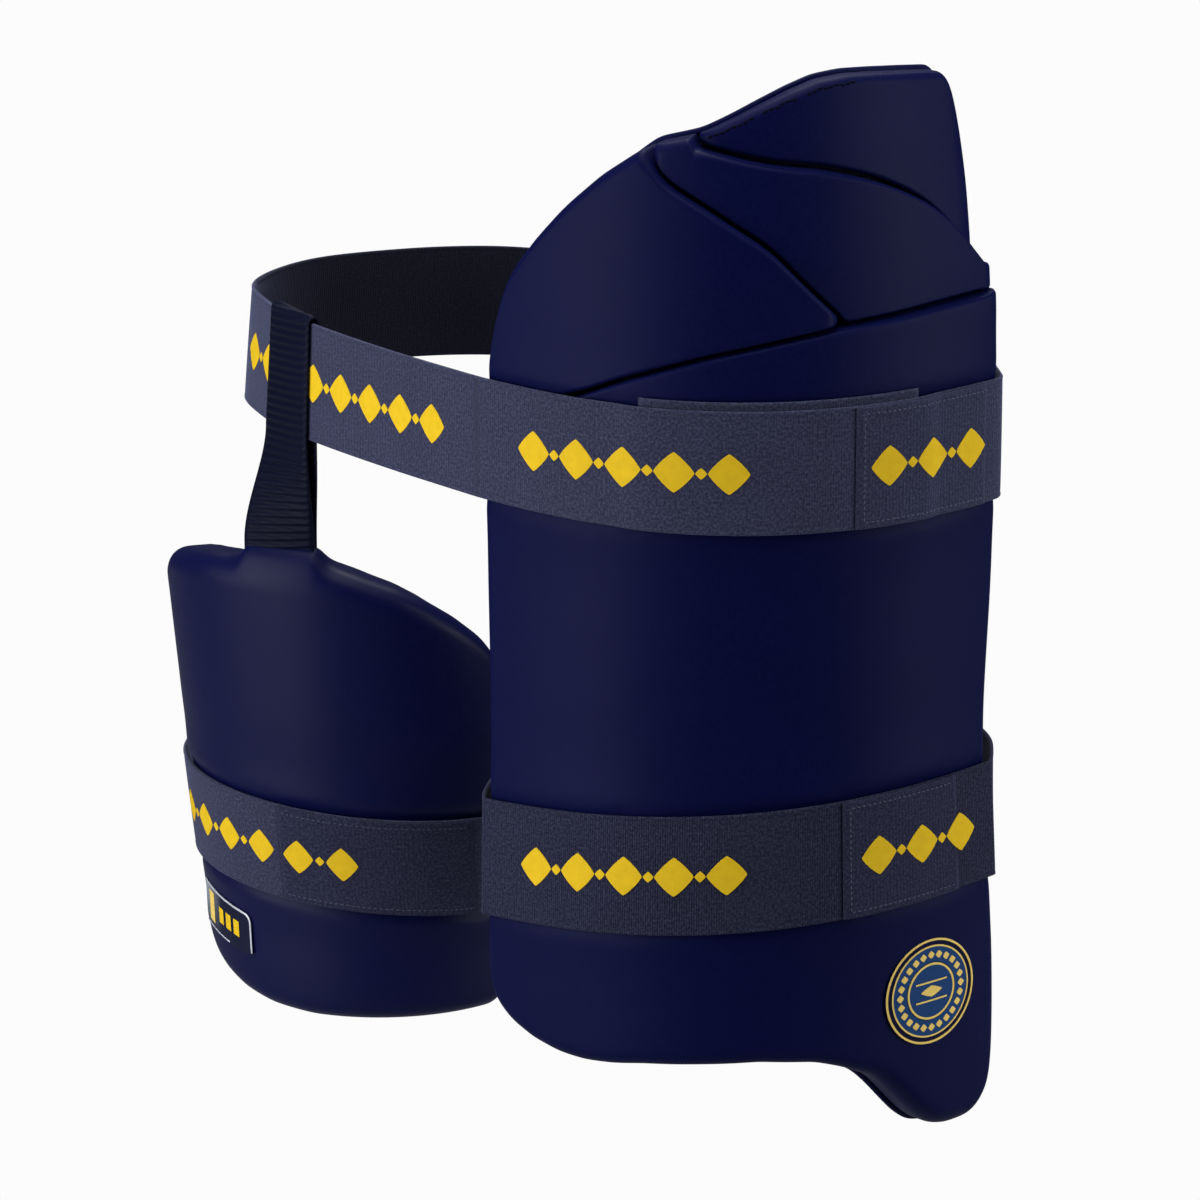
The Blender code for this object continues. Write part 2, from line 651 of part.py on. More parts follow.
def add_badges(collection):
    gold = material("badge", (0.45, 0.33, 0.06), 0.4)
    silver = material("label", (0.55, 0.55, 0.58), 0.4)
    turns = [2.0 * math.pi * i / DISC_STEPS for i in range(DISC_STEPS)]
    disc = [(BADGE_RADIUS * math.cos(turn), BADGE_RADIUS * math.sin(turn)) for turn in turns]
    along = BADGE_PLACE[0] * PAD_HALF_WIDTH
    height = BADGE_PLACE[1] * PAD_DROP
    add_transfer(collection, gold, "round_badge", disc,
                 lambda x, y: pad_point(along + x, height + y, 2.0 * FIT_GAP))
    start = LABEL_PLACE[0] * INNER_HALF_ARC
    on_strap = inner_point(start, -INNER_STRAP_DROP, STRAP_OUT)
    rise = tilted(on_strap, INNER_CENTRE, 0.5 * INNER_STRAP_WIDTH, INNER_STRAP_TILT)[0]
    strap_low, pad_low = rise - INNER_STRAP_DROP, inner_edges(start)[0]
    level = strap_low + (pad_low - strap_low) * LABEL_PLACE[1]
    plate = rounded_plate(0.5 * LABEL_SIZE[0], 0.5 * LABEL_SIZE[1], LABEL_CORNER)
    add_transfer(collection, silver, "small_label", plate,
                 lambda x, y: inner_point(start + x, level + y - LABEL_SLOPE * x, 2.0 * FIT_GAP))


def main():
    clear_scene()
    guard = new_collection("thigh guard")
    add_outer_pad(guard)
    add_inner_pad(guard)
    add_waist_strap(guard)
    add_thigh_strap(guard)
    add_inner_strap(guard)
    add_hanger(guard)
    add_badges(guard)


main()
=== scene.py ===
# %% [markdown]
# # A cricket thigh guard, dressed over its packed solids
# A batter wears this guard under the trousers: a large foam pad over the front hip and
# thigh, a smaller one inside the other thigh, and elastic straps round the waist and legs.
# The packed solids give every size and place. This file gives the covers, weaves, seams,
# prints and light. It starts by loading the solids as a fixed frame.

# %% Load the frame
import math

import bmesh
import bpy
import numpy as np
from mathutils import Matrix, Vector
from mathutils.bvhtree import BVHTree


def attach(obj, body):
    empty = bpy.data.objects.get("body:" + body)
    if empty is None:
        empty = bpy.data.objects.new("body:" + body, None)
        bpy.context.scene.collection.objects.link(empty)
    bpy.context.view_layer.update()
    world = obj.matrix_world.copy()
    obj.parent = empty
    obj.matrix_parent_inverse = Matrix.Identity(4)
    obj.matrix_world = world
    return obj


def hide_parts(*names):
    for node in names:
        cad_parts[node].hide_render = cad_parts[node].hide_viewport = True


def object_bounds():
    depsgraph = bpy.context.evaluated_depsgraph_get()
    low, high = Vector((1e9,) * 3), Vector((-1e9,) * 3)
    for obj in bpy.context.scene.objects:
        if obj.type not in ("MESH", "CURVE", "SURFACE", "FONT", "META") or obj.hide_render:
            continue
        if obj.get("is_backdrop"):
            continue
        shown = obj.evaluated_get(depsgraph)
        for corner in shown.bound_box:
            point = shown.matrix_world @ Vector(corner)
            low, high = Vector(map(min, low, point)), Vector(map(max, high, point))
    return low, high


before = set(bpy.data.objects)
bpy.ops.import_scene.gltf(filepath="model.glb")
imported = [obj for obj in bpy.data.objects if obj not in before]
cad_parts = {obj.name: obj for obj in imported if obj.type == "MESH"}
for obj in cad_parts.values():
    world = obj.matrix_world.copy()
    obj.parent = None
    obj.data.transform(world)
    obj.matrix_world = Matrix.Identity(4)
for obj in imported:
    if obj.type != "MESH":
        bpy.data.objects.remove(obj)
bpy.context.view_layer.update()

print("solids:", sorted(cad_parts))

# %% [markdown]
# ## The camera
# The photograph was taken from the wearer's front left, a little above the waist, with a
# long lens. A long lens far away keeps the two pads' sizes true to each other, so the
# camera stands 2.4 m off. It aims at the middle of the picture.

# %% Camera
CAMERA_AZIMUTH = math.radians(40.0)
CAMERA_PITCH = math.radians(16.0)
CAMERA_DISTANCE = 2.4
AIM = Vector((-0.0049, -0.0041, -0.0956))

towards_camera = Vector((math.sin(CAMERA_AZIMUTH) * math.cos(CAMERA_PITCH),
                         -math.cos(CAMERA_AZIMUTH) * math.cos(CAMERA_PITCH),
                         math.sin(CAMERA_PITCH)))
camera_data = bpy.data.cameras.new("camera")
camera_data.sensor_width = 36.0
camera_data.lens = 170.76
camera = bpy.data.objects.new("camera", camera_data)
camera.location = AIM + towards_camera * CAMERA_DISTANCE
camera.rotation_euler = towards_camera.to_track_quat("Z", "Y").to_euler()
bpy.context.scene.collection.objects.link(camera)
bpy.context.scene.camera = camera
print("camera at", [round(v, 3) for v in camera.location])

# %% [markdown]
# ## The studio
# The cloth shows one light band near each side and a dark band down the middle that faces
# the camera. Two tall soft boxes, one on each side of the object, give just that. A small
# one stands close on the left, so that it strikes the inner pad more from the front than
# the outer pad. A lamp over the camera would fill the dark band, so the top box hangs
# straight above. The last box stands behind and lights the borders and the back. The floor
# is pale and far below, because the guard hangs as if it were worn.

# %% Soft boxes
def add_softbox(name, turn, pitch, distance, size, power):
    """A lamp aimed at the object: degrees round from the camera and up, metres, watts."""
    data = bpy.data.lights.new(name, "AREA")
    data.shape = "RECTANGLE"
    data.size, data.size_y = size
    data.energy = power
    lamp = bpy.data.objects.new(name, data)
    azimuth = CAMERA_AZIMUTH + math.radians(turn)
    tilt = math.radians(pitch)
    way = Vector((math.sin(azimuth) * math.cos(tilt), -math.cos(azimuth) * math.cos(tilt),
                  math.sin(tilt)))
    lamp.location = AIM + way * distance
    lamp.rotation_euler = way.to_track_quat("Z", "Y").to_euler()
    lamp.visible_camera = False
    bpy.context.scene.collection.objects.link(lamp)
    return lamp


add_softbox("left box", -70.0, 10.0, 1.7, (0.8, 1.6), 21.0)
add_softbox("near box", -48.0, 6.0, 0.8, (0.3, 0.9), 3.7)
add_softbox("right box", 74.0, 14.0, 1.7, (0.7, 1.6), 25.0)
add_softbox("top box", -12.0, 80.0, 1.8, (1.4, 1.0), 26.0)
add_softbox("back box", 176.0, 56.0, 2.2, (1.4, 1.2), 34.0)
print("lamps:", len(bpy.data.lights))

# %% A white world that lights little
world = bpy.data.worlds.new("studio")
world.use_nodes = True
bpy.context.scene.world = world
backdrop = world.node_tree.nodes["Background"]
backdrop.inputs["Color"].default_value = (1.0, 1.0, 1.0, 1.0)
ray = world.node_tree.nodes.new("ShaderNodeLightPath")
strength = world.node_tree.nodes.new("ShaderNodeMapRange")
strength.inputs["To Min"].default_value = 0.05
strength.inputs["To Max"].default_value = 1.0
world.node_tree.links.new(ray.outputs["Is Camera Ray"], strength.inputs["Value"])
world.node_tree.links.new(strength.outputs["Result"], backdrop.inputs["Strength"])
bpy.context.scene.view_settings.view_transform = "Standard"
print("the world lights at", strength.inputs["To Min"].default_value, "of what the camera sees")

# %% The pale floor
FLOOR_HEIGHT, FLOOR_HALF = -0.62, 16.0
floor_mesh = bpy.data.meshes.new("floor")
corners = ((-1, -1), (1, -1), (1, 1), (-1, 1))
floor_mesh.from_pydata([(FLOOR_HALF * x, FLOOR_HALF * y, FLOOR_HEIGHT) for x, y in corners],
                       [], [(0, 1, 2, 3)])
floor = bpy.data.objects.new("floor", floor_mesh)
bpy.context.scene.collection.objects.link(floor)
floor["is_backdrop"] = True

paint = bpy.data.materials.new("pale floor")
paint.use_nodes = True
nodes, links = paint.node_tree.nodes, paint.node_tree.links
surface = nodes["Principled BSDF"]
surface.inputs["Base Color"].default_value = (0.30, 0.30, 0.31, 1.0)
surface.inputs["Roughness"].default_value = 0.9
shine = nodes.new("ShaderNodeEmission")
shine.inputs["Color"].default_value = (0.97, 0.97, 0.97, 1.0)
seen = nodes.new("ShaderNodeLightPath")
blend_floor = nodes.new("ShaderNodeMixShader")
links.new(seen.outputs["Is Camera Ray"], blend_floor.inputs[0])
links.new(surface.outputs[0], blend_floor.inputs[1])
links.new(shine.outputs[0], blend_floor.inputs[2])
links.new(blend_floor.outputs[0], nodes["Material Output"].inputs["Surface"])
floor.data.materials.append(paint)
print("floor at", FLOOR_HEIGHT)

# %% [markdown]
# ## The outer pad's surface
# The large pad is one foam sheet bent round the hip, so a place on it is best given as
# along (round the curve), height, and out (away from its face). One function turns those
# into a point, and a second one finds them again for any point. With the pair, a seam, a
# strap or a dent can be drawn as if the pad lay flat on a bench. The turn grows as a sine,
# so the middle is rounder than the sides, as foam bends.

# %% Sizes and outlines of the outer pad
FACING = math.radians(40.0)
PAD_HALF = 0.1238
PAD_RISE, PAD_DROP = 0.1525, 0.2914
PAD_TURN = math.radians(45.0)
RIDGE_ACROSS, RIDGE_BEHIND = 0.050, -0.152
NIP_FRONT, NIP_BACK, NIP_DOWN, NIP_SPREAD = 0.012, 0.030, 0.46, 0.30
FLARE, FLARE_DOWN, FLARE_SPREAD = 0.048, 0.42, 0.45
HIP_LEAN, LEAN_FOOT = 0.013, 0.050
BLOCK_DEEP, MID_DEEP, HIP_DEEP, BACKING_DEEP = 0.020, 0.016, 0.010, 0.003
GROOVE = 0.0018
FIT_GAP = 0.0003

# Along is a share of PAD_HALF, up a share of PAD_RISE above the waist and PAD_DROP below.
PAD_TOP = [
    (-1.000, 0.000), (-0.986, 0.045), (-0.972, 0.123), (-0.957, 0.207), (-0.942, 0.289),
    (-0.916, 0.373), (-0.879, 0.457), (-0.782, 0.556), (-0.672, 0.648), (-0.537, 0.738),
    (-0.474, 0.770), (-0.373, 0.820), (-0.181, 0.850), (-0.061, 0.884), (0.060, 0.920),
    (0.185, 0.953), (0.314, 0.979), (0.448, 0.987), (0.586, 0.983), (0.730, 0.975),
    (0.890, 0.963), (0.918, 0.950), (0.930, 0.922), (0.936, 0.870), (0.946, 0.770),
    (0.960, 0.643), (0.980, 0.520), (0.997, 0.440), (1.000, 0.330)]
PAD_BOTTOM = [
    (-1.000, -0.715), (-0.996, -0.759), (-0.983, -0.792), (-0.940, -0.829),
    (-0.875, -0.849), (-0.781, -0.864), (-0.670, -0.873), (-0.569, -0.875),
    (-0.450, -0.871), (-0.339, -0.864), (-0.132, -0.857), (0.067, -0.852), (0.264, -0.858),
    (0.366, -0.871), (0.480, -0.894), (0.540, -0.916), (0.606, -0.945), (0.668, -0.972),
    (0.736, -0.993), (0.806, -1.000), (0.868, -0.998), (0.906, -0.989), (0.942, -0.972),
    (0.966, -0.952), (0.988, -0.909), (0.999, -0.830), (1.000, -0.790)]
GROOVE_WING = [
    (-0.369, 0.823), (-0.340, 0.774), (-0.304, 0.745), (-0.146, 0.682), (-0.058, 0.642),
    (0.086, 0.574), (0.164, 0.512), (0.233, 0.457), (0.336, 0.382)]
GROOVE_HIP = [
    (-0.197, 0.824), (-0.135, 0.818), (-0.013, 0.797), (0.130, 0.778), (0.303, 0.765),
    (0.506, 0.727), (0.611, 0.694), (0.723, 0.652), (0.789, 0.612), (0.877, 0.548),
    (0.962, 0.462)]
GROOVE_BLOCK = [
    (-1.000, 0.036), (-0.941, 0.056), (-0.714, 0.128), (-0.548, 0.175), (-0.402, 0.225),
    (-0.122, 0.297), (0.122, 0.339), (0.336, 0.367), (0.511, 0.375), (0.712, 0.386),
    (1.000, 0.394)]


def heights_of(table):
    """A table's shares turned into metres: along and height."""
    rows = np.array(table)
    scale = np.where(rows[:, 1] > 0.0, PAD_RISE, PAD_DROP)
    return rows[:, 0] * PAD_HALF, rows[:, 1] * scale


def smooth_step(value):
    held = np.clip(value, 0.0, 1.0)
    return held * held * (3.0 - 2.0 * held)


def bump(value):
    return np.maximum(0.0, 1.0 - np.square(value)) ** 2


print("pad outline:", len(PAD_TOP) + len(PAD_BOTTOM), "rows")

# %% Points on the outer pad and back again
REACH = np.linspace(-1.25 * PAD_HALF, 1.25 * PAD_HALF, 1251)
REACH_TURN = PAD_TURN * np.sin(0.5 * np.pi * np.clip(REACH / PAD_HALF, -1.0, 1.0))
STEP = REACH[1] - REACH[0]
middle_turns = 0.5 * (REACH_TURN[1:] + REACH_TURN[:-1])
CURVE_ACROSS = np.concatenate([[0.0], np.cumsum(np.cos(middle_turns)) * STEP])
CURVE_BEHIND = np.concatenate([[0.0], np.cumsum(np.sin(middle_turns)) * STEP])
CURVE_ACROSS += RIDGE_ACROSS - np.interp(0.0, REACH, CURVE_ACROSS)
CURVE_BEHIND += RIDGE_BEHIND - np.interp(0.0, REACH, CURVE_BEHIND)


def to_frame(across, behind, height):
    """Points given across and behind the pad's facing, in the frame's own axes."""
    x = across * math.cos(FACING) - behind * math.sin(FACING)
    y = across * math.sin(FACING) + behind * math.cos(FACING)
    return np.stack([x, y, height + 0.0 * x], axis=-1)


def from_frame(points):
    across = points[..., 0] * math.cos(FACING) + points[..., 1] * math.sin(FACING)
    behind = -points[..., 0] * math.sin(FACING) + points[..., 1] * math.cos(FACING)
    return across, behind


def reach_of(along, height):
    """Where a place really lies round the curve: drawn in half way down, flared below."""
    down = -height / PAD_DROP
    nip = np.where(along > 0.0, NIP_BACK, NIP_FRONT) * bump((down - NIP_DOWN) / NIP_SPREAD)
    flare = smooth_step((down - FLARE_DOWN) / FLARE_SPREAD) * smooth_step(along / PAD_HALF)
    return along * (1.0 - nip + FLARE * flare)


def lean_at(height):
    return HIP_LEAN * np.clip((height - LEAN_FOOT) / (PAD_RISE - LEAN_FOOT), 0.0, None) ** 1.5


def curve_points(reach, height, out):
    """Points from their true place round the curve."""
    turn = np.interp(reach, REACH, REACH_TURN)
    away = out - lean_at(height)
    across = np.interp(reach, REACH, CURVE_ACROSS) + away * np.sin(turn)
    behind = np.interp(reach, REACH, CURVE_BEHIND) - away * np.cos(turn)
    return to_frame(across, behind, height)


def pad_points(along, height, out):
    along, height, out = np.broadcast_arrays(along, height, np.asarray(out, float))
    return curve_points(reach_of(along, height), height, out)


def pad_places(points):
    """Along (as reach), height and out of points near the outer pad."""
    across, behind = from_frame(points)
    found = np.empty(len(points), int)
    for start in range(0, len(points), 4000):
        part = slice(start, start + 4000)
        gap = ((across[part, None] - CURVE_ACROSS) ** 2
               + (behind[part, None] - CURVE_BEHIND) ** 2)
        found[part] = gap.argmin(axis=1)
    turn = REACH_TURN[found]
    out = ((across - CURVE_ACROSS[found]) * np.sin(turn)
           - (behind - CURVE_BEHIND[found]) * np.cos(turn))
    side = ((across - CURVE_ACROSS[found]) * np.cos(turn)
            + (behind - CURVE_BEHIND[found]) * np.sin(turn))
    return REACH[found] + side, points[:, 2], out + lean_at(points[:, 2])


sample = pad_points(np.array([0.05]), np.array([-0.1]), np.array([0.004]))
print("there and back:", [round(float(v[0]), 4) for v in pad_places(sample)])

# %% [markdown]
# ## The inner pad's surface
# The inner pad is a piece of a cone, because a thigh narrows downwards. The same pair of
# functions is written for it: one places, one finds again.

# %% Points on the inner pad and back again
INNER_ACROSS, INNER_BEHIND = -0.1115, 0.081
INNER_RADIUS, INNER_TAPER = 0.0865, 0.0465
INNER_TURN = math.radians(-16.3)
INNER_NIP, INNER_NIP_SPREAD = 0.0022, 0.062
INNER_TOP, INNER_HEIGHT, INNER_HALF, INNER_DEEP = 0.083, 0.204, 0.1017, 0.024
INNER_STRAP_WIDTH, INNER_STRAP_DROP, INNER_STRAP_TILT = 0.043, 0.2135, -0.100
INNER_TOP_EDGE = [
    (-1.000, 0.140), (-0.990, 0.080), (-0.950, 0.052), (-0.870, 0.027), (-0.700, 0.012),
    (-0.470, 0.000), (0.100, 0.000), (0.180, 0.004), (0.260, 0.014), (0.340, 0.028),
    (0.455, 0.047), (0.590, 0.079), (0.730, 0.120), (0.865, 0.170), (0.950, 0.220),
    (0.988, 0.260), (1.000, 0.310)]
INNER_BOTTOM_EDGE = [
    (-1.000, 0.750), (-0.992, 0.820), (-0.972, 0.865), (-0.925, 0.895), (-0.870, 0.918),
    (-0.783, 0.942), (-0.685, 0.960), (-0.525, 0.980), (-0.345, 0.993), (-0.100, 1.000),
    (0.860, 1.000), (0.940, 0.985), (0.985, 0.945), (1.000, 0.880)]


def inner_round(height):
    """Middle (across) and radius of the inner pad's face at a height."""
    fall = -INNER_TOP - height
    nip = INNER_NIP * bump((height + INNER_STRAP_DROP) / INNER_NIP_SPREAD)
    return INNER_ACROSS + INNER_TAPER * fall, INNER_RADIUS - INNER_TAPER * fall - nip


def inner_points(along, height, out):
    along, height, out = np.broadcast_arrays(along, height, np.asarray(out, float))
    middle, radius = inner_round(height)
    turn = INNER_TURN + along / INNER_RADIUS
    return to_frame(middle + (radius + out) * np.sin(turn),
                    INNER_BEHIND - (radius + out) * np.cos(turn), height)


def inner_places(points):
    across, behind = from_frame(points)
    middle, radius = inner_round(points[:, 2])
    turn = np.arctan2(across - middle, INNER_BEHIND - behind)
    along = (turn - INNER_TURN) * INNER_RADIUS
    return along, points[:, 2], np.hypot(across - middle, behind - INNER_BEHIND) - radius


print("inner pad round in mm:", [round(1000 * float(v), 1) for v in inner_round(-0.2)])

# %% [markdown]
# ## Making meshes
# Every piece here is a mesh made from points. A few helpers do the plain work: make an
# object, write where each point lies on its piece, and give it its material and body. The
# place is stored on the points as the attribute "run", in metres, so that a weave follows
# the cloth and not the room. It needs no unwrapping and survives remeshing.

# %% Making and reading meshes
def make_object(name, points, faces, smooth=True):
    mesh = bpy.data.meshes.new(name)
    mesh.from_pydata([tuple(p) for p in np.asarray(points, float)], [], faces)
    mesh.update()
    made = bpy.data.objects.new(name, mesh)
    bpy.context.scene.collection.objects.link(made)
    if smooth:
        mesh.shade_smooth()
    return made


def read_points(item):
    points = np.empty(len(item.data.vertices) * 3)
    item.data.vertices.foreach_get("co", points)
    return points.reshape(-1, 3)


def write_points(item, points):
    item.data.vertices.foreach_set("co", np.asarray(points, np.float32).ravel())
    item.data.update()


def write_run(item, first, second, third=0.0):
    """Stores each point's place on its own piece: along, across and a third number."""
    spot = item.data.attributes.get("run")
    if spot is None:
        spot = item.data.attributes.new("run", "FLOAT_VECTOR", "POINT")
    values = np.stack(np.broadcast_arrays(first, second, third), axis=-1)
    spot.data.foreach_set("vector", values.astype(np.float32).ravel())


def bake_modifiers(item):
    """Replaces the object's mesh by what its modifiers make of it."""
    graph = bpy.context.evaluated_depsgraph_get()
    mesh = bpy.data.meshes.new_from_object(item.evaluated_get(graph))
    item.modifiers.clear()
    item.data = mesh
    mesh.shade_smooth()


def face_outward(item):
    mesh = bmesh.new()
    mesh.from_mesh(item.data)
    bmesh.ops.recalc_face_normals(mesh, faces=mesh.faces)
    mesh.to_mesh(item.data)
    mesh.free()


print("mesh helpers ready")

# %% Lines and grids of points
def walk(line):
    """How far along a line each of its points lies."""
    return np.concatenate([[0.0], np.cumsum(np.linalg.norm(np.diff(line, axis=0), axis=1))])


def point_at(distance, spans, line):
    """The place on a line at a distance along it; spans is how far its points lie."""
    return np.stack([np.interp(distance, spans, line[:, k]) for k in range(3)], axis=-1)


def unit(vectors):
    return vectors / np.maximum(np.linalg.norm(vectors, axis=-1, keepdims=True), 1e-9)


def circle(count):
    """Even turns once round, in radians."""
    return np.linspace(0.0, 2.0 * np.pi, count, endpoint=False)


def eased(loop, rounds):
    """A closed line with its corners eased: each point moves towards its neighbours."""
    for _ in range(rounds):
        loop = 0.5 * loop + 0.25 * (np.roll(loop, 1, axis=0) + np.roll(loop, -1, axis=0))
    return loop


def grid_faces(rows, around, ring=True, closed=False, capped=False, base=0):
    """Quads over a grid of points; ring closes each row, closed joins the last row on."""
    faces = []
    for i in range(rows if closed else rows - 1):
        here, there = base + i * around, base + (i + 1) % rows * around
        for j in range(around if ring else around - 1):
            k = (j + 1) % around
            faces.append((here + j, here + k, there + k, there + j))
    if capped:
        faces += [tuple(range(start, start + around))
                  for start in (base, base + (rows - 1) * around)]
    return faces


def outward(place, first, second, out=0.0, probe=0.01):
    """The direction away from a surface, from two levels of its place function."""
    return (place(first, second, out + probe) - place(first, second, out)) / probe


def squared(turns, power):
    """A round outline drawn out to a lozenge by a high power, to a rectangle by a low one."""
    return [np.sign(way) * np.abs(way) ** power for way in (np.cos(turns), np.sin(turns))]


print("a tube of 3 rings of 4 points has", len(grid_faces(3, 4)), "quads")

# %% Dressing a piece
def dress(item, material, slot, nodes=()):
    """Gives a piece its material and its body, and hides what it stands for; slot is not used."""
    item.data.materials.clear()
    item.data.materials.append(material)
    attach(item, "root")
    if nodes:
        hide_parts(*nodes)
    print(item.name, len(item.data.polygons), "faces")


def dress_patch(name, points, faces, run, sharp, *look):
    """A small patch with crisp borders, made and dressed in one go."""
    made = make_object(name, points, faces)
    face_outward(made)
    made.data.set_sharp_from_angle(angle=math.radians(sharp))
    write_run(made, *np.array(run).T)
    dress(made, *look)


print("dressing helpers ready")

# %% [markdown]
# ## Shared effects as node groups
# Six cloths appear on the guard: a smooth stretch knit over the foam, a plain lining behind
# it, a heathered and a ribbed elastic, a brushed loop cloth on the strap ends, and webbing.
# They share two effects, so each effect is a node group with named sockets, placed in a
# material with that cloth's own values.
# "Weave" gives the height of crossing threads and a mask of odd, lighter yarns. "Fade"
# gives slow, cloudy variation, the way dye and handling vary over a hand's width.

# %% Node group helpers
class Graph:
    """Short names for making and joining nodes in one tree."""

    def __init__(self, tree):
        self.nodes, self.links = tree.nodes, tree.links

    def add(self, kind, **values):
        made = self.nodes.new(kind)
        for key, value in values.items():
            setattr(made, key, value)
        return made

    def feed(self, socket, value):
        if isinstance(value, bpy.types.NodeSocket):
            self.links.new(value, socket)
        else:
            socket.default_value = value

    def math(self, operation, first, second=0.0, clamp=False):
        made = self.add("ShaderNodeMath", operation=operation, use_clamp=clamp)
        self.feed(made.inputs[0], first)
        self.feed(made.inputs[1], second)
        return made.outputs[0]

    def noise(self, place, scale, detail=2.0):
        made = self.add("ShaderNodeTexNoise")
        self.feed(made.inputs["Vector"], place)
        self.feed(made.inputs["Scale"], scale)
        self.feed(made.inputs["Detail"], detail)
        return made.outputs["Fac"]

    def remap(self, value, low, high, to_low=0.0, to_high=1.0):
        made = self.add("ShaderNodeMapRange")
        for name, given in (("Value", value), ("From Min", low), ("From Max", high),
                            ("To Min", to_low), ("To Max", to_high)):
            self.feed(made.inputs[name], given)
        return made.outputs["Result"]

    def mix(self, factor, first, second):
        made = self.add("ShaderNodeMix", data_type="RGBA")
        self.feed(made.inputs["Factor"], factor)
        self.feed(made.inputs[6], first)
        self.feed(made.inputs[7], second)
        return made.outputs[2]

    def group(self, tree, **values):
        made = self.add("ShaderNodeGroup")
        made.node_tree = tree
        for name, value in values.items():
            self.feed(made.inputs[name.replace("_", " ")], value)
        return made.outputs

    def run(self):
        made = self.add("ShaderNodeAttribute", attribute_name="run")
        return made.outputs["Vector"]


def new_group(name, inputs, outputs):
    """An empty group with named sockets, and its inner graph, entry and exit."""
    tree = bpy.data.node_groups.new(name, "ShaderNodeTree")
    for title, kind, value in inputs:
        made = tree.interface.new_socket(name=title, in_out="INPUT", socket_type=kind)
        if value is not None:
            made.default_value = value
    for title, kind in outputs:
        tree.interface.new_socket(name=title, in_out="OUTPUT", socket_type=kind)
    graph = Graph(tree)
    return tree, graph, graph.add("NodeGroupInput").outputs, graph.add("NodeGroupOutput").inputs


print("node helpers:", [name for name in vars(Graph) if not name.startswith("_")])

# %% The weave group
WEAVE, g, given, result = new_group("Weave", [
    ("Place", "NodeSocketVector", None), ("Warp Pitch", "NodeSocketFloat", 0.001),
    ("Weft Pitch", "NodeSocketFloat", 0.001), ("Slant", "NodeSocketFloat", 0.0),
    ("Cross", "NodeSocketFloat", 0.5), ("Fuzz", "NodeSocketFloat", 0.3)],
    [("Height", "NodeSocketFloat"), ("Yarn", "NodeSocketFloat")])
apart = g.add("ShaderNodeSeparateXYZ")
g.feed(apart.inputs[0], given["Place"])
slid = g.math("ADD", apart.outputs[1], g.math("MULTIPLY", apart.outputs[0], given["Slant"]))
warp = g.math("SINE", g.math("DIVIDE", g.math("MULTIPLY", apart.outputs[0], 2.0 * math.pi),
                             given["Warp Pitch"]))
weft = g.math("SINE", g.math("DIVIDE", g.math("MULTIPLY", slid, 2.0 * math.pi),
                             given["Weft Pitch"]))
crossing = g.math("ADD", g.math("MULTIPLY", warp, given["Cross"]),
                  g.math("MULTIPLY", weft, g.math("SUBTRACT", 1.0, given["Cross"])))
fine = g.noise(given["Place"], 1900.0, 1.0)
fuzzed = g.math("ADD", g.math("MULTIPLY", crossing, 0.5),
                g.math("MULTIPLY", g.math("SUBTRACT", fine, 0.5), given["Fuzz"]))
g.feed(result["Height"], g.math("ADD", fuzzed, 0.5))
yarn = g.noise(given["Place"], 900.0, 3.0)
g.feed(result["Yarn"], g.remap(yarn, 0.40, 0.68))
print("group Weave:", len(WEAVE.nodes), "nodes")

# %% The fade group
FADE, g, given, result = new_group("Fade", [
    ("Place", "NodeSocketVector", None), ("Size", "NodeSocketFloat", 0.06),
    ("Amount", "NodeSocketFloat", 0.3)], [("Tone", "NodeSocketFloat")])
cloud = g.noise(given["Place"], g.math("DIVIDE", 1.0, given["Size"]), 3.0)
swing = g.math("MULTIPLY", g.math("SUBTRACT", cloud, 0.5), given["Amount"])
g.feed(result["Tone"], g.math("ADD", swing, 1.0))
print("group Fade:", len(FADE.nodes), "nodes")

# %% [markdown]
# ## Cloth materials
# One function builds a cloth from its own numbers: a deep colour, the lighter yarn that
# shows through it, the pitch of its threads, its shine and its sheen. The knit cover is a
# smooth stretch cloth, so its threads are fine and its gloss is broad. The elastic is dull,
# coarser and heathered. Its inner face is darker by painted shade, the shadow inside the
# strap's loop. Sheen stays on the shader itself, as one number for each cloth.

# %% One cloth from its own numbers
def new_material(name):
    made = bpy.data.materials.new(name)
    made.use_nodes = True
    g = Graph(made.node_tree)
    return made, g, g.nodes["Principled BSDF"]


def set_surface(g, shader, tone, colour, woven, roughness, relief, specular):
    """Joins a toned colour, the threads' relief and an uneven gloss to the shader."""
    toned = g.add("ShaderNodeHueSaturation")
    g.feed(toned.inputs["Value"], tone)
    g.feed(toned.inputs["Color"], colour)
    g.feed(shader.inputs["Base Color"], toned.outputs[0])
    g.feed(shader.inputs["Roughness"], g.remap(woven["Yarn"], 0.0, 1.0, *roughness))
    raised = g.add("ShaderNodeBump")
    raised.inputs["Strength"].default_value = 1.0
    raised.inputs["Distance"].default_value = relief
    g.feed(raised.inputs["Height"], woven["Height"])
    g.feed(shader.inputs["Normal"], raised.outputs[0])
    shader.inputs["Specular IOR Level"].default_value = specular


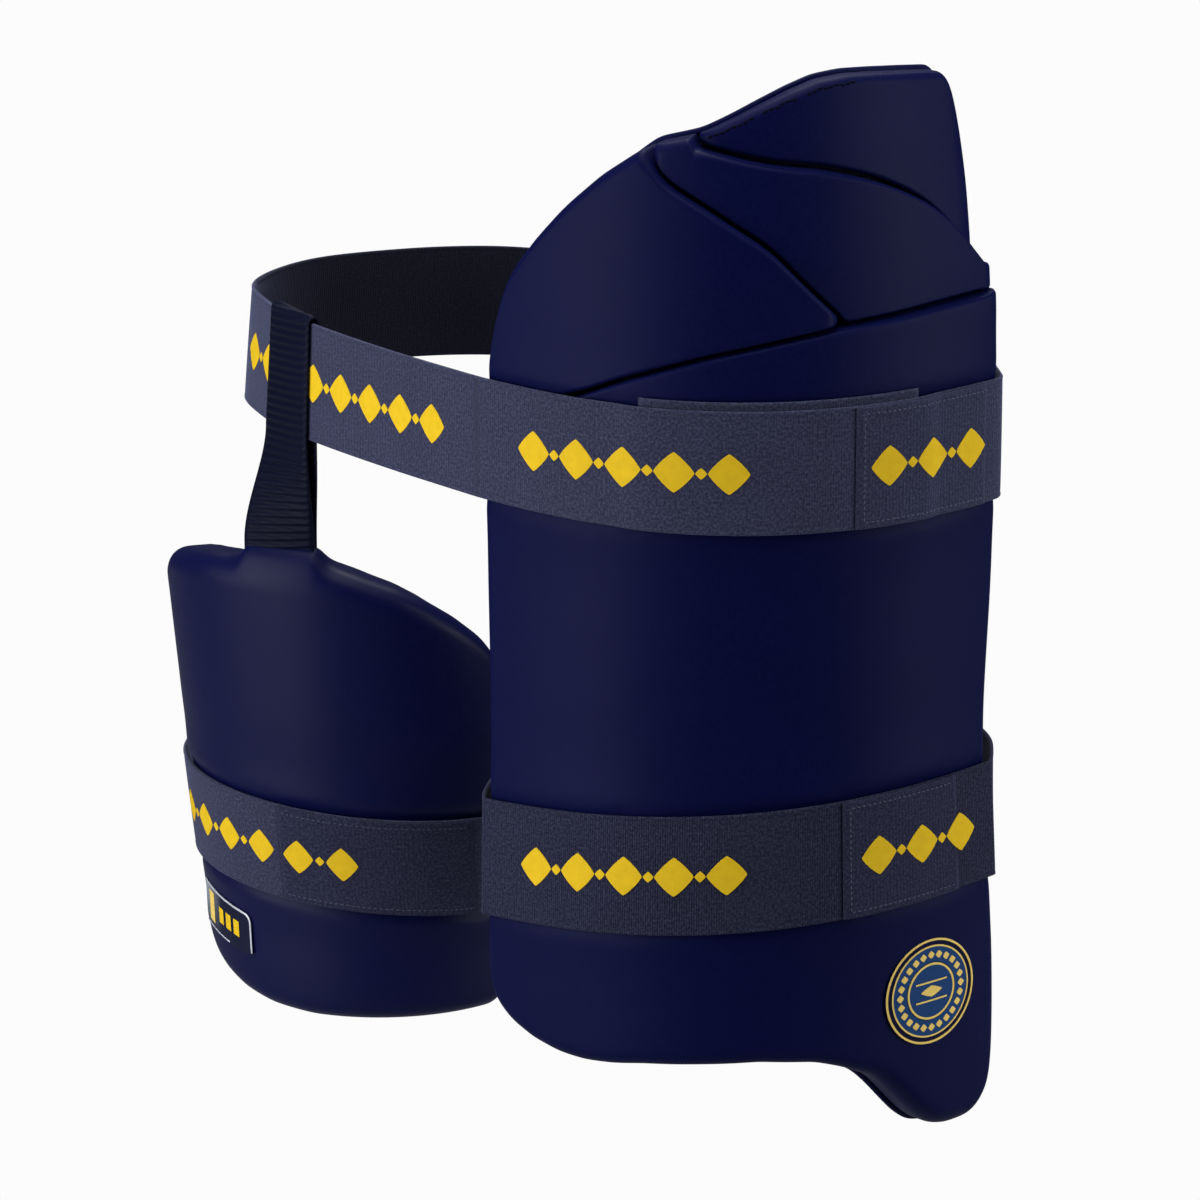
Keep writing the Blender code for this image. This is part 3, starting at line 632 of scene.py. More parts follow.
def cloth(name, colour, yarn, amount, pitch, relief, roughness, sheen, cross=0.5, slant=0.0,
          fuzz=0.3, fade=(0.06, 0.3), specular=0.5, inside=1.0):
    """A woven cloth; inside is how bright its inner face is beside its outer one, as painted
    shade.
    """
    made, g, shader = new_material(name)
    run = g.run()
    woven = g.group(WEAVE, Place=run, Warp_Pitch=pitch[0], Weft_Pitch=pitch[1], Slant=slant,
                    Cross=cross, Fuzz=fuzz)
    tone = g.group(FADE, Place=run, Size=fade[0], Amount=fade[1])["Tone"]
    # Painted shade: where the run's third number is 1, on a strap's inner face, the tone is
    # dimmed.
    if inside < 1.0:
        parts = g.add("ShaderNodeSeparateXYZ")
        g.feed(parts.inputs[0], run)
        tone = g.math("MULTIPLY", tone, g.remap(parts.outputs[2], 0.0, 1.0, 1.0, inside))
    mixed = g.mix(g.math("MULTIPLY", woven["Yarn"], amount), (*colour, 1.0), (*yarn, 1.0))
    set_surface(g, shader, tone, mixed, woven, (roughness - 0.04, roughness + 0.05), relief,
                specular)
    shader.inputs["Sheen Weight"].default_value = sheen
    shader.inputs["Sheen Roughness"].default_value = 0.45
    shader.inputs["Sheen Tint"].default_value = (0.55, 0.60, 1.0, 1.0)
    return made


print("cloth helper ready")

# %% The cloths
knit = cloth("knit cover", (0.0014, 0.0024, 0.0300), (0.0026, 0.0042, 0.0390), 0.5,
             (0.00045, 0.00050), 0.00002, 0.50, 0.004, fuzz=0.9, specular=0.042)
inner_knit = cloth("inner knit cover", (0.0015, 0.0026, 0.0300), (0.0028, 0.0044, 0.0400), 0.5,
                   (0.00045, 0.00050), 0.00002, 0.42, 0.006, fuzz=0.9, specular=0.095)
lining = cloth("lining", (0.0070, 0.0085, 0.0300), (0.0170, 0.0200, 0.0520), 0.7,
               (0.0030, 0.0030), 0.00030, 0.78, 0.05, fuzz=0.5, specular=0.1)
# Both elastics get painted shade on their inner faces through inside.
elastic = cloth("heathered elastic", (0.0165, 0.0180, 0.0420), (0.058, 0.062, 0.106), 0.62,
                (0.0011, 0.0030), 0.00010, 0.80, 0.20, cross=0.75, fuzz=0.7,
                fade=(0.02, 0.25), specular=0.06, inside=0.22)
ribbed = cloth("ribbed elastic", (0.0090, 0.0100, 0.0260), (0.040, 0.043, 0.076), 0.58,
               (0.0010, 0.0016), 0.00018, 0.80, 0.05, cross=0.85, fuzz=0.5,
               fade=(0.02, 0.25), specular=0.06, inside=0.40)
brushed = cloth("brushed loop cloth", (0.0180, 0.0195, 0.0440), (0.058, 0.062, 0.104), 0.55,
                (0.0016, 0.0016), 0.00012, 0.88, 0.10, fuzz=0.9, fade=(0.015, 0.3),
                specular=0.06)
dark_brushed = cloth("dark brushed loop cloth", (0.0120, 0.0130, 0.0320), (0.044, 0.047, 0.082),
                     0.55, (0.0016, 0.0016), 0.00012, 0.88, 0.07, fuzz=0.9,
                     fade=(0.015, 0.3), specular=0.06)
webbing = cloth("ribbed webbing", (0.0018, 0.0026, 0.0110), (0.0060, 0.0080, 0.0240), 0.4,
                (0.0011, 0.0030), 0.00008, 0.55, 0.0, cross=0.9, fuzz=0.4, slant=0.10,
                specular=0.06)
print("cloths:", [made.name for made in (knit, inner_knit, lining, elastic, ribbed, brushed,
                                         dark_brushed, webbing)])

# %% [markdown]
# ## Print and thread materials
# The badge and the label are printed transfers: flat ink with a little gloss and a faint
# unevenness where it takes the cloth's grain. The thread is a dull polyester.

# %% Print and thread
def ink(name, colour, roughness, metallic=0.0, specular=0.10):
    made, g, shader = new_material(name)
    run = g.run()
    tone = g.group(FADE, Place=run, Size=0.004, Amount=0.25)["Tone"]
    woven = g.group(WEAVE, Place=run, Warp_Pitch=0.0008, Weft_Pitch=0.0008, Fuzz=0.4)
    set_surface(g, shader, tone, (*colour, 1.0), woven, (roughness - 0.03, roughness + 0.05),
                0.00003, specular)
    shader.inputs["Metallic"].default_value = metallic
    return made


yellow_yarn = ink("yellow yarn", (0.60, 0.395, 0.012), 0.70, specular=0.06)
gold_ink = ink("gold ink", (0.66, 0.48, 0.12), 0.45)
blue_ink = ink("blue ink", (0.0025, 0.034, 0.125), 0.50)
navy_ink = ink("navy ink", (0.0015, 0.0024, 0.022), 0.50, specular=0.05)
silver_ink = ink("silver ink", (0.50, 0.53, 0.60), 0.32, 0.3, specular=0.4)
thread = ink("thread", (0.074, 0.078, 0.118), 0.75, specular=0.05)
dark_thread = ink("dark thread", (0.0015, 0.0018, 0.008), 0.75, specular=0.03)
print("inks and threads ready")

# %% [markdown]
# ## Foam pads
# A foam pad is a block with a stretch cover pulled over it, so its faces are crowned and
# its edges round. A voxel remesh would eat the narrow grooves, so the start is a dense
# loft: sections with their own rounding at the foot and at the head, set side by side. A
# short cloth simulation with air pressure then fills the face out as the foam does. Walls
# and back are held, because the backing carries them, and no point may move far, so that
# the panels stay clear of each other.

# %% Lofting a foam pad
def spread(low, high, count):
    """Places from low to high, closer together towards both ends."""
    turns = np.linspace(0.0, np.pi, count + 1)
    return 0.5 * (low + high) - 0.5 * (high - low) * np.cos(turns)


def rim_fall(distance, width, drop=None):
    """How far a rounded edge has dropped at a distance in from its border."""
    short = 1.0 - np.clip(distance / width, 0.0, 1.0)
    return (width if drop is None else drop) * (1.0 - np.sqrt(1.0 - short ** 2))


def pad_section(low, high, front, back, rounds, rows):
    """A pad cut across: heights, outs and how firmly each point of its border is held."""
    foot, head = (min(r, 0.45 * (high - low)) for r in rounds)
    turns = np.linspace(0.0, 0.5 * np.pi, 7)
    wall = np.linspace(0.0, 1.0, 5)[:-1]
    face = np.linspace(low + foot, high - head, rows + 1)[1:-1]
    rear = np.linspace(high, low, 14)[1:-1]
    ease = 1.0 - 0.75 * np.sin(turns)
    parts = [
        (np.full(4, low), back + (front - foot - back) * wall, np.ones(4)),
        (low + foot * (1.0 - np.cos(turns)), front - foot + foot * np.sin(turns), ease),
        (face, np.full(len(face), front), np.zeros(len(face))),
        ((high - head * (1.0 - np.cos(turns)))[::-1],
         (front - head + head * np.sin(turns))[::-1], ease[::-1]),
        (np.full(4, high), (back + (front - head - back) * wall)[::-1], np.ones(4)),
        (rear, np.full(len(rear), back), np.ones(len(rear)))]
    return [np.concatenate(column) for column in zip(*parts)]


def loft_pad(name, place, reach, edges, rounds, end, front, back, cuts):
    """The pad's mesh with its grid's shape and the hold of each point."""
    columns, rows = cuts
    points, hold = [], []
    for along in spread(*reach, columns):
        low, high = edges(along)
        near_end = min(along - reach[0], reach[1] - along)
        level = front - rim_fall(near_end, *end)
        heights, outs, held = pad_section(low, high, level, back, rounds(along), rows)
        count = len(heights)
        points.append(place(np.full(count, along), heights, outs))
        hold.append(np.maximum(held, smooth_step(1.0 - near_end / end[0])))
    made = make_object(name, np.concatenate(points), grid_faces(columns + 1, count, capped=True))
    face_outward(made)
    return made, np.array(hold)


print("loft helpers ready")

# %% Swelling and subdividing a pad
SIM_FRAMES = 20


def even_out(values, rounds):
    """Averages a grid of vectors with its neighbours; the grid is closed one way round."""
    for _ in range(rounds):
        fore = np.concatenate([values[1:], values[-1:]])
        aft = np.concatenate([values[:1], values[:-1]])
        values = (0.4 * values + 0.15 * (fore + aft)
                  + 0.15 * (np.roll(values, 1, axis=1) + np.roll(values, -1, axis=1)))
    return values


def swell(item, hold, cap):
    """Blows a pad up against its own cover and keeps no more than the cap."""
    start = read_points(item)
    pins = item.vertex_groups.new(name="held")
    levels = np.round(hold.ravel() * 10.0).astype(int)
    for level in range(1, 11):
        pins.add([int(i) for i in np.nonzero(levels == level)[0]], level / 10.0, "REPLACE")
    blown = item.modifiers.new("cloth", "CLOTH")
    blown.settings.vertex_group_mass = "held"
    blown.settings.use_pressure = True
    blown.settings.uniform_pressure_force = PRESSURE
    blown.settings.quality = 4
    blown.settings.effector_weights.gravity = 0.0
    blown.collision_settings.use_collision = False
    blown.point_cache.frame_start, blown.point_cache.frame_end = 1, SIM_FRAMES
    scene = bpy.context.scene
    for count in range(1, SIM_FRAMES + 1):
        scene.frame_set(count)
    settled = item.evaluated_get(bpy.context.evaluated_depsgraph_get())
    moved = np.empty(len(start) * 3)
    settled.data.vertices.foreach_get("co", moved)
    item.modifiers.clear()
    scene.frame_set(1)
    travel = moved.reshape(-1, 3) - start
    length = np.linalg.norm(travel, axis=1, keepdims=True)
    travel *= np.minimum(1.0, cap / np.maximum(length, 1e-9))
    travel = even_out(travel.reshape(*hold.shape, 3), 8).reshape(-1, 3)
    write_points(item, start + travel)
    print(item.name, "swelled by", round(1000 * float(np.median(length)), 1),
          "mm in the middle of the range, kept to", round(1000 * cap, 1))


def subdivide(item):
    finer = item.modifiers.new("finer", "SUBSURF")
    finer.levels = finer.render_levels = 1
    bake_modifiers(item)


print("simulation:", "on")

# %% [markdown]
# ## How the straps press
# A strap pulled round foam sinks in, and the foam stands up a little above and below it.
# The press is a change of out, worked out from the distance to the strap's borders: inside
# them the foam stays under the strap, just outside them it rises, further off nothing
# changes.

# %% Strap bands on the outer pad
STRAP_WIDTH, STRAP_THICK, TAB_THICK = 0.050, 0.0020, 0.0014
BADGE_ALONG, BADGE_HEIGHT, BADGE_RADIUS = 0.679 * PAD_HALF, -0.779 * PAD_DROP, 0.0225
THIGH_DROP, THIGH_RISE, THIGH_BACK = 0.1655, 0.080, -0.050


def thigh_rise(points):
    across, behind = from_frame(points)
    return THIGH_RISE * (across - RIDGE_ACROSS) + THIGH_BACK * (behind - RIDGE_BEHIND)


BORDER_BLEND, FACE_DEPTH = 0.004, 0.006
PRINT_MARGIN, PRINT_SEAT = 0.005, 0.0001


def press(distance, out, rest=-0.0006, rise=0.0011, reach=0.016):
    """The new out at a distance past a strap's border; inside it the distance is negative."""
    under = smooth_step(0.5 - distance / BORDER_BLEND)
    held = np.minimum(out, rest)
    shoulder = rise * smooth_step(distance / BORDER_BLEND) * np.exp(-(distance / reach) ** 2)
    swollen = out + shoulder * smooth_step((out + FACE_DEPTH) / FACE_DEPTH)
    return swollen * (1.0 - under) + held * under


def seat_print(out, distance, radius):
    """Flattens the foam under a print whose rim lies at a radius."""
    under = smooth_step((radius + PRINT_MARGIN - distance) / BORDER_BLEND)
    seated = out * (1.0 - under) + np.minimum(out, PRINT_SEAT) * under
    return np.where(out > -BORDER_BLEND, seated, out)


def sculpt_outer(item):
    """Presses the waist and thigh straps into a pad of the outer group."""
    points = read_points(item)
    reach, height, out = pad_places(points)
    badge_reach = float(reach_of(np.float64(BADGE_ALONG), np.float64(BADGE_HEIGHT)))
    out = seat_print(out, np.hypot(reach - badge_reach, height - BADGE_HEIGHT), BADGE_RADIUS)
    out = press(np.abs(height) - 0.5 * STRAP_WIDTH, out)
    thigh = np.abs(height + THIGH_DROP - thigh_rise(points)) - 0.5 * STRAP_WIDTH
    write_points(item, curve_points(reach, height, press(thigh, out)))


def run_on_pad(item):
    reach, height, out = pad_places(read_points(item))
    write_run(item, reach + 0.5 * out, height, out)


print("bands: waist at 0, thigh at", -THIGH_DROP)

# %% [markdown]
# ## The four foam panels of the outer pad
# One cover is pressed down between four pieces of foam: a long block over the thigh, a
# wing towards the front, a thinner mid plate and a thin hip plate. Each panel is its own
# pad. At a groove its edge is tight, at the outline it is soft, and at the tongue's hollow
# side it rolls off widest. The wing stands 4 mm above the mid plate, which gives the
# bright wall between them.

# %% Borders of the panels
CORNER_WIDTH = 0.0022


def smooth_line(table, width=CORNER_WIDTH, count=901):
    """A table's line with its corners rounded off; its two ends stay."""
    at, up = heights_of(table)
    dense = np.linspace(at[0], at[-1], count)
    level = np.interp(dense, at, up)
    step = dense[1] - dense[0]
    reach = int(3.0 * width / step)  # three widths hold all of the bell
    kernel = np.exp(-0.5 * np.square(np.arange(-reach, reach + 1) * step / width))
    before = 2.0 * level[0] - level[reach:0:-1]
    after = 2.0 * level[-1] - level[-2:-reach - 2:-1]
    padded = np.concatenate([before, level, after])
    return dense, np.convolve(padded, kernel / kernel.sum(), "valid")


TOP_AT, TOP_UP = smooth_line(PAD_TOP)
FOOT_AT, FOOT_UP = smooth_line(PAD_BOTTOM)
WING_AT, WING_UP = smooth_line(GROOVE_WING, 0.0045)
HIP_AT, HIP_UP = smooth_line(GROOVE_HIP, 0.0060)
BLOCK_AT, BLOCK_UP = smooth_line(GROOVE_BLOCK, 0.0060)
GROOVE_CLOSES_FROM, GROOVE_CLOSES_OVER, GROOVE_CLOSED = 0.90, 0.07, 0.80


def half_groove(along):
    """Half a groove's width; the cover closes it towards the pad's two sides."""
    near_side = smooth_step((abs(along) / PAD_HALF - GROOVE_CLOSES_FROM) / GROOVE_CLOSES_OVER)
    return 0.5 * GROOVE * (1.0 - GROOVE_CLOSED * near_side)


def block_edges(along):
    line = np.interp(along, BLOCK_AT, BLOCK_UP) - half_groove(along)
    return np.interp(along, FOOT_AT, FOOT_UP), min(line, np.interp(along, TOP_AT, TOP_UP))


def wing_edges(along):
    high = np.interp(along, TOP_AT, TOP_UP)
    if along > WING_AT[0]:
        high = min(high, np.interp(along, WING_AT, WING_UP) - half_groove(along))
    return np.interp(along, BLOCK_AT, BLOCK_UP) + half_groove(along), high


def mid_edges(along):
    high = np.interp(along, TOP_AT, TOP_UP)
    if along > HIP_AT[0]:
        high = min(high, np.interp(along, HIP_AT, HIP_UP) - half_groove(along))
    low = np.interp(along, BLOCK_AT, BLOCK_UP)
    if along < WING_AT[-1]:
        low = np.interp(along, WING_AT, WING_UP)
    return low + half_groove(along), high


def hip_edges(along):
    return (np.interp(along, HIP_AT, HIP_UP) + half_groove(along),
            np.interp(along, TOP_AT, TOP_UP))


print("groove lines:", len(GROOVE_WING) + len(GROOVE_HIP) + len(GROOVE_BLOCK), "rows")

# %% Rounding of each border
TIGHT, SOFT, THIN_SOFT, TONGUE_SOFT = 0.0019, 0.0066, 0.0036, 0.0098
WING_TOP, MID_FOOT, CHANGE_OVER = 0.0026, 0.0012, 0.006
TONGUE_FROM, TONGUE_TO, TONGUE_IN, TONGUE_OUT = 0.38, 0.92, 0.16, 0.10


def block_rounds(along):
    share = along / PAD_HALF
    tongue = (smooth_step((share - TONGUE_FROM) / TONGUE_IN)
              * smooth_step((TONGUE_TO - share) / TONGUE_OUT))
    return SOFT + (TONGUE_SOFT - SOFT) * float(tongue), TIGHT


def wing_rounds(along):
    on_groove = float(smooth_step((along - WING_AT[0]) / CHANGE_OVER))
    return TIGHT, SOFT + (WING_TOP - SOFT) * on_groove


def mid_rounds(along):
    on_groove = float(smooth_step((along - HIP_AT[0]) / CHANGE_OVER))
    return MID_FOOT, THIN_SOFT + (TIGHT - THIN_SOFT) * on_groove


def hip_rounds(along):
    return TIGHT, THIN_SOFT


print("roundings in mm:", [round(1000 * r, 1) for r in (TIGHT, SOFT, THIN_SOFT, TONGUE_SOFT)])

# %% Build the panels
PANELS = [  # node, reach, edges, rounds, end rounding, deep, cuts, cap
    ("thigh_block", (-1.0, 1.0), block_edges, block_rounds, (0.0078, 0.0078), BLOCK_DEEP,
     (120, 84), 0.0016),
    ("front_wing", (-0.985, 0.320), wing_edges, wing_rounds, (0.0068, 0.0068), BLOCK_DEEP,
     (96, 44), 0.0013),
    ("mid_plate", (-0.345, 0.994), mid_edges, mid_rounds, (0.0060, 0.0040), MID_DEEP,
     (96, 40), 0.0010),
    ("hip_plate", (-0.188, 0.970), hip_edges, hip_rounds, (0.0105, 0.0050), HIP_DEEP,
     (90, 34), 0.0008)]
SHRINK, PRESSURE = 0.0008, 4.0
for node, shares, edges, rounds, end, deep, cuts, cap in PANELS:
    reach = (shares[0] * PAD_HALF, shares[1] * PAD_HALF)
    pad, hold = loft_pad(node + "_cover", pad_points, reach, edges, rounds, end,
                         deep - BLOCK_DEEP - SHRINK, -BLOCK_DEEP, cuts)
    swell(pad, hold, cap)
    sculpt_outer(pad)
    subdivide(pad)
    run_on_pad(pad)
    dress(pad, knit, "foam cover", [node])

# %% [markdown]
# ## The inner pad
# It is thicker and softer than the outer panels. Webbing is sewn into its top edge and
# pulls the cover up into a small peak, with a hollow curve on both sides. After the
# simulation the top is lifted near the webbing, the strap is pressed in, and the foam is
# made level under the label.

# %% Borders of the inner pad and the label's place
HANGER_WIDTH, HANGER_THICK = 0.036, 0.0020
HANGER_SEAT, HANGER_PLACE, HANGER_SWING = -0.095, 0.145, 0.86
PEAK_RISE, PEAK_SPREAD, PEAK_DOWN, PEAK_BLEND = 0.0085, 0.0042, 0.016, 0.014


def inner_line(table, along):
    rows = np.array(table)
    share = np.asarray(along) / INNER_HALF
    near = [np.interp(share + step, rows[:, 0], rows[:, 1]) for step in (-0.02, 0.0, 0.02)]
    return -INNER_TOP - INNER_HEIGHT * (0.25 * near[0] + 0.5 * near[1] + 0.25 * near[2])


def inner_edges(along):
    return inner_line(INNER_BOTTOM_EDGE, along), inner_line(INNER_TOP_EDGE, along)


def inner_rounds(along):
    return 0.0080, 0.0100


def inner_strap_rise(along, out=0.0):
    points = inner_points(along, -INNER_STRAP_DROP, out)
    return INNER_STRAP_TILT * (from_frame(points)[0] - INNER_ACROSS)


LABEL_WIDE, LABEL_TALL, LABEL_SLOPE = 0.046, 0.0195, -0.14
LABEL_ALONG, LABEL_SHARE = -0.629 * INNER_HALF, 0.435
strap_low = -INNER_STRAP_DROP + inner_strap_rise(LABEL_ALONG) - 0.5 * INNER_STRAP_WIDTH
LABEL_LEVEL = float(strap_low + (inner_edges(LABEL_ALONG)[0] - strap_low) * LABEL_SHARE)
print("label's height:", round(LABEL_LEVEL, 4))

# %% Build the inner pad
def sculpt_inner(item):
    along, height, out = inner_places(read_points(item))
    label = np.maximum(np.abs(along - LABEL_ALONG) - 0.5 * LABEL_WIDE,
                       np.abs(height - LABEL_LEVEL - LABEL_SLOPE * (along - LABEL_ALONG))
                       - 0.5 * LABEL_TALL)
    out = seat_print(out, label, 0.0)
    strap = np.abs(height + INNER_STRAP_DROP - inner_strap_rise(along))
    out = press(strap - 0.5 * INNER_STRAP_WIDTH, out, rise=0.0016, reach=0.014)
    past = np.abs(along - HANGER_SEAT * INNER_HALF) - 0.5 * HANGER_WIDTH
    peak = np.exp(-np.clip(past, 0.0, None) / PEAK_SPREAD)
    below_top = inner_line(INNER_TOP_EDGE, along) - height
    near_top = smooth_step((PEAK_DOWN - below_top) / PEAK_BLEND)
    mid_depth = bump((out + 0.52 * INNER_DEEP) / (0.56 * INNER_DEEP)) ** 0.7
    height = height + PEAK_RISE * peak * near_top * mid_depth
    write_points(item, inner_points(along, height, out))


inner_pad, hold = loft_pad("inner_pad_cover", inner_points, (-INNER_HALF, INNER_HALF),
                           inner_edges, inner_rounds, (0.0085, 0.0085), -SHRINK,
                           -INNER_DEEP + SHRINK, (110, 60))
swell(inner_pad, hold, 0.0018)
sculpt_inner(inner_pad)
subdivide(inner_pad)
along, height, out = inner_places(read_points(inner_pad))
write_run(inner_pad, along, height, out)
dress(inner_pad, inner_knit, "inner pad cover", ["inner_pad"])

# %% [markdown]
# ## The backing and its rim
# Behind the foam lies a thin lining laminated to foam, cut to the pad's whole outline. It
# is a dense sheet of quads given thickness, because a simulation would only crease it. The
# cover is turned round its border and sewn, which leaves a slim round rim just outside the
# panels. The rim is a bead swept along the outline.

# %% The lining sheet
def outline_loop(inset=0.0, per_edge=220):
    """Along and height round the whole outline, drawn in by an inset."""
    sweep = np.sin(np.linspace(-0.5 * np.pi, 0.5 * np.pi, per_edge))
    along = sweep * PAD_HALF
    low, high = np.interp(along, FOOT_AT, FOOT_UP), np.interp(along, TOP_AT, TOP_UP)
    left = np.linspace(low[0], high[0], 40)[1:-1]
    right = np.linspace(high[-1], low[-1], 50)[1:-1]
    loop = np.concatenate([
        np.stack([np.full(len(left), along[0]), left], axis=1), np.stack([along, high], axis=1),
        np.stack([np.full(len(right), along[-1]), right], axis=1),
        np.stack([along[::-1], low[::-1]], axis=1)])
    loop = eased(loop, 3)
    way = unit(np.roll(loop, -1, axis=0) - np.roll(loop, 1, axis=0))
    return loop + inset * np.stack([way[:, 1], -way[:, 0]], axis=1)


LINING_INSET = 0.0004
columns, rows = 90, 60
grid = []
for place in spread(-PAD_HALF + LINING_INSET, PAD_HALF - LINING_INSET, columns):
    low, high = np.interp(place, FOOT_AT, FOOT_UP), np.interp(place, TOP_AT, TOP_UP)
    heights = spread(low + LINING_INSET, high - LINING_INSET, rows)
    grid.append(pad_points(np.full(rows + 1, place), heights, -BLOCK_DEEP - FIT_GAP))
faces = [quad[::-1] for quad in grid_faces(columns + 1, rows + 1, ring=False)]
sheet_back = make_object("backing_lining", np.concatenate(grid), faces)
thick = sheet_back.modifiers.new("thickness", "SOLIDIFY")
thick.thickness, thick.offset = BACKING_DEEP, -1.0
bake_modifiers(sheet_back)
face_outward(sheet_back)
run_on_pad(sheet_back)
dress(sheet_back, lining, "backing cloth", ["backing"])

# %% Sweeping a bead along a line
def sweep_bead(name, line, radius, up, sides=8, closed=True, flat=1.0):
    """A round bead through the points of a line; flat squashes it along up."""
    line = np.asarray(line, float)
    ahead = np.roll(line, -1, axis=0) - np.roll(line, 1, axis=0)
    if not closed:
        ahead[0], ahead[-1] = line[1] - line[0], line[-1] - line[-2]
    ahead = unit(ahead)
    side = unit(np.cross(ahead, up))
    over = np.cross(side, ahead)
    turns = circle(sides)
    rings = (line[:, None] + radius * (side[:, None] * np.cos(turns)[None, :, None]
             + flat * over[:, None] * np.sin(turns)[None, :, None]))
    faces = grid_faces(len(line), sides, closed=closed, capped=not closed)
    made = make_object(name, rings.reshape(-1, 3), faces)
    face_outward(made)
    write_run(made, np.repeat(walk(line), sides), np.tile(turns * radius, len(line)))
    return made


RIM_RADIUS, RIM_PAST_BORDER, RIM_BEHIND = 0.0014, 0.0002, 0.0008
rim = outline_loop(-RIM_PAST_BORDER)
rim_line = pad_points(*rim.T, -BLOCK_DEEP - RIM_BEHIND)
rim_bead = sweep_bead("turned_rim", rim_line, RIM_RADIUS, outward(pad_points, *rim.T), 10)
dress(rim_bead, knit, "foam cover")

# %% [markdown]
# ## Straps
# A strap is flat woven elastic of one width. It is swept directly: a line of points across
# its width is carried along the route, and the section has a rounded bead on both borders,
# where the weave is bound. The waist strap runs over a second layer that is sewn to the
# pad, so it lifts there by that layer's thickness.

# %% Sweeping a strap
def strap_section(thick, beads=True):
    """Shares across the width and half thickness there, from border to border."""
    shares = np.array([0.0, 0.004, 0.012, 0.024, 0.032, 0.045, 0.10, 0.2, 0.35, 0.5])
    halves = np.array([0.25, 0.75, 1.0, 0.96, 0.80, 0.86, 0.9, 0.92, 0.94, 0.95])
    if not beads:
        halves = np.array([0.3, 0.8, 0.95, 1.0, 1.0, 1.0, 1.0, 1.0, 1.0, 1.0])
    shares = np.concatenate([shares, 1.0 - shares[-2::-1]])
    halves = np.concatenate([halves, halves[-2::-1]])
    return shares, 0.5 * thick * halves


CUT_TAPER, CUT_SINK, STRAP_SHARP = 0.0030, 0.2, 50.0


def sweep_strap(name, lows, highs, thick, closed, beads=True):
    """A flat strap between two border lines; a cut end thins towards what it lies on."""
    lows, highs = np.asarray(lows), np.asarray(highs)
    middle = 0.5 * (lows + highs)
    ahead = np.roll(middle, -1, axis=0) - np.roll(middle, 1, axis=0)
    if not closed:
        ahead[0], ahead[-1] = middle[1] - middle[0], middle[-1] - middle[-2]
    across = highs - lows
    normal = unit(np.cross(ahead, across))
    width = float(np.linalg.norm(across, axis=1).mean())
    shares, halves = strap_section(thick, beads)
    distance = walk(middle)
    ease = np.ones(len(middle))
    if not closed:
        ease = smooth_step(np.minimum(distance, distance[-1] - distance) / CUT_TAPER)
    if np.dot(normal[0], middle[0] - middle.mean(axis=0) * [0.0, 0.0, 1.0]) < 0.0:
        normal = -normal
    sheets = []
    for sign, order in ((1.0, slice(None)), (-1.0, slice(None, None, -1))):
        base = lows[:, None] + across[:, None] * shares[order][None, :, None]
        level = sign * halves[order][None, :, None]
        if sign > 0.0:
            level = level * ((1.0 + CUT_SINK) * ease[:, None, None] - CUT_SINK)
        level = level - FIT_GAP * (1.0 - ease[:, None, None])
        sheets.append(base + normal[:, None] * level)
    rings = np.concatenate(sheets, axis=1)
    count, around = rings.shape[:2]
    faces = grid_faces(count, around, closed=closed, capped=not closed)
    made = make_object(name, rings.reshape(-1, 3), faces)
    face_outward(made)
    made.data.set_sharp_from_angle(angle=math.radians(STRAP_SHARP))
    heights = np.concatenate([shares, shares[::-1]]) - 0.5
    # The third number is 1 on the inner face; the elastics darken it there as painted shade.
    inside = np.repeat([0.0, 1.0], len(shares))
    write_run(made, np.repeat(distance, around), np.tile(heights * width, count),
              np.tile(inside, count))
    return made


def curve_through(points, steps):
    points = np.asarray(points, float)
    line = []
    for i in range(1, len(points) - 2):
        before, start, end, after = points[i - 1:i + 3]
        for t in np.arange(steps) / steps:
            line.append(0.5 * (2.0 * start + (end - before) * t
                               + (2.0 * before - 5.0 * start + 4.0 * end - after) * t * t
                               + (3.0 * start - before - 3.0 * end + after) * t ** 3))
    return np.array(line)


print("strap sweep ready")

# %% The waist strap's route
RUN_REACH = 0.978  # the straps leave the pad's face at this share of its half width
WAIST_HALF_WIDTH, WAIST_HALF_DEPTH, WAIST_SPLAY = 0.183, 0.108, 0.0025
UNDER_FROM, UNDER_TO, LIFT_SPREAD = -0.343, 0.602, 0.08
WAIST_TAB = (0.353, 0.890)
STRAP_OUT = FIT_GAP + 0.5 * STRAP_THICK
TAB_OUT = 2.0 * FIT_GAP + STRAP_THICK + 0.5 * TAB_THICK
WAIST_ROUTE = [
    (0.874, -0.420), (0.760, -0.609), (0.565, -0.804), (0.261, -0.915), (-0.048, -0.960),
    (-0.380, -0.910), (-0.617, -0.814), (-0.765, -0.690), (-0.895, -0.430),
    (-0.986, -0.050), (-0.930, 0.370), (-0.755, 0.610), (-0.540, 0.768), (-0.221, 0.906)]


print("guides of the waist's route:", len(WAIST_ROUTE))

# %% The waist strap
def strap_lift(along):
    into = np.minimum(along / PAD_HALF - UNDER_FROM, UNDER_TO - along / PAD_HALF)
    return (TAB_THICK + FIT_GAP) * smooth_step(1.0 + into / LIFT_SPREAD)


def across_pad(first, last, height, out, count=97, lift=None):
    """A line over the outer pad's face from one share of its width to another."""
    along = spread(first, last, count) * PAD_HALF
    rise = lift(along) if lift else 0.0
    return pad_points(along, height(along), out + rise)


def at_waist(along):
    return 0.0 * along


def ease_loop(line, rounds=4, step=0.0025):
    """A closed line with even steps and its corners eased."""
    closed = np.vstack([line, line[:1]])
    spans = walk(closed)
    even = np.linspace(0.0, spans[-1], int(spans[-1] / step) + 1)[:-1]
    return eased(point_at(even, spans, closed), rounds)


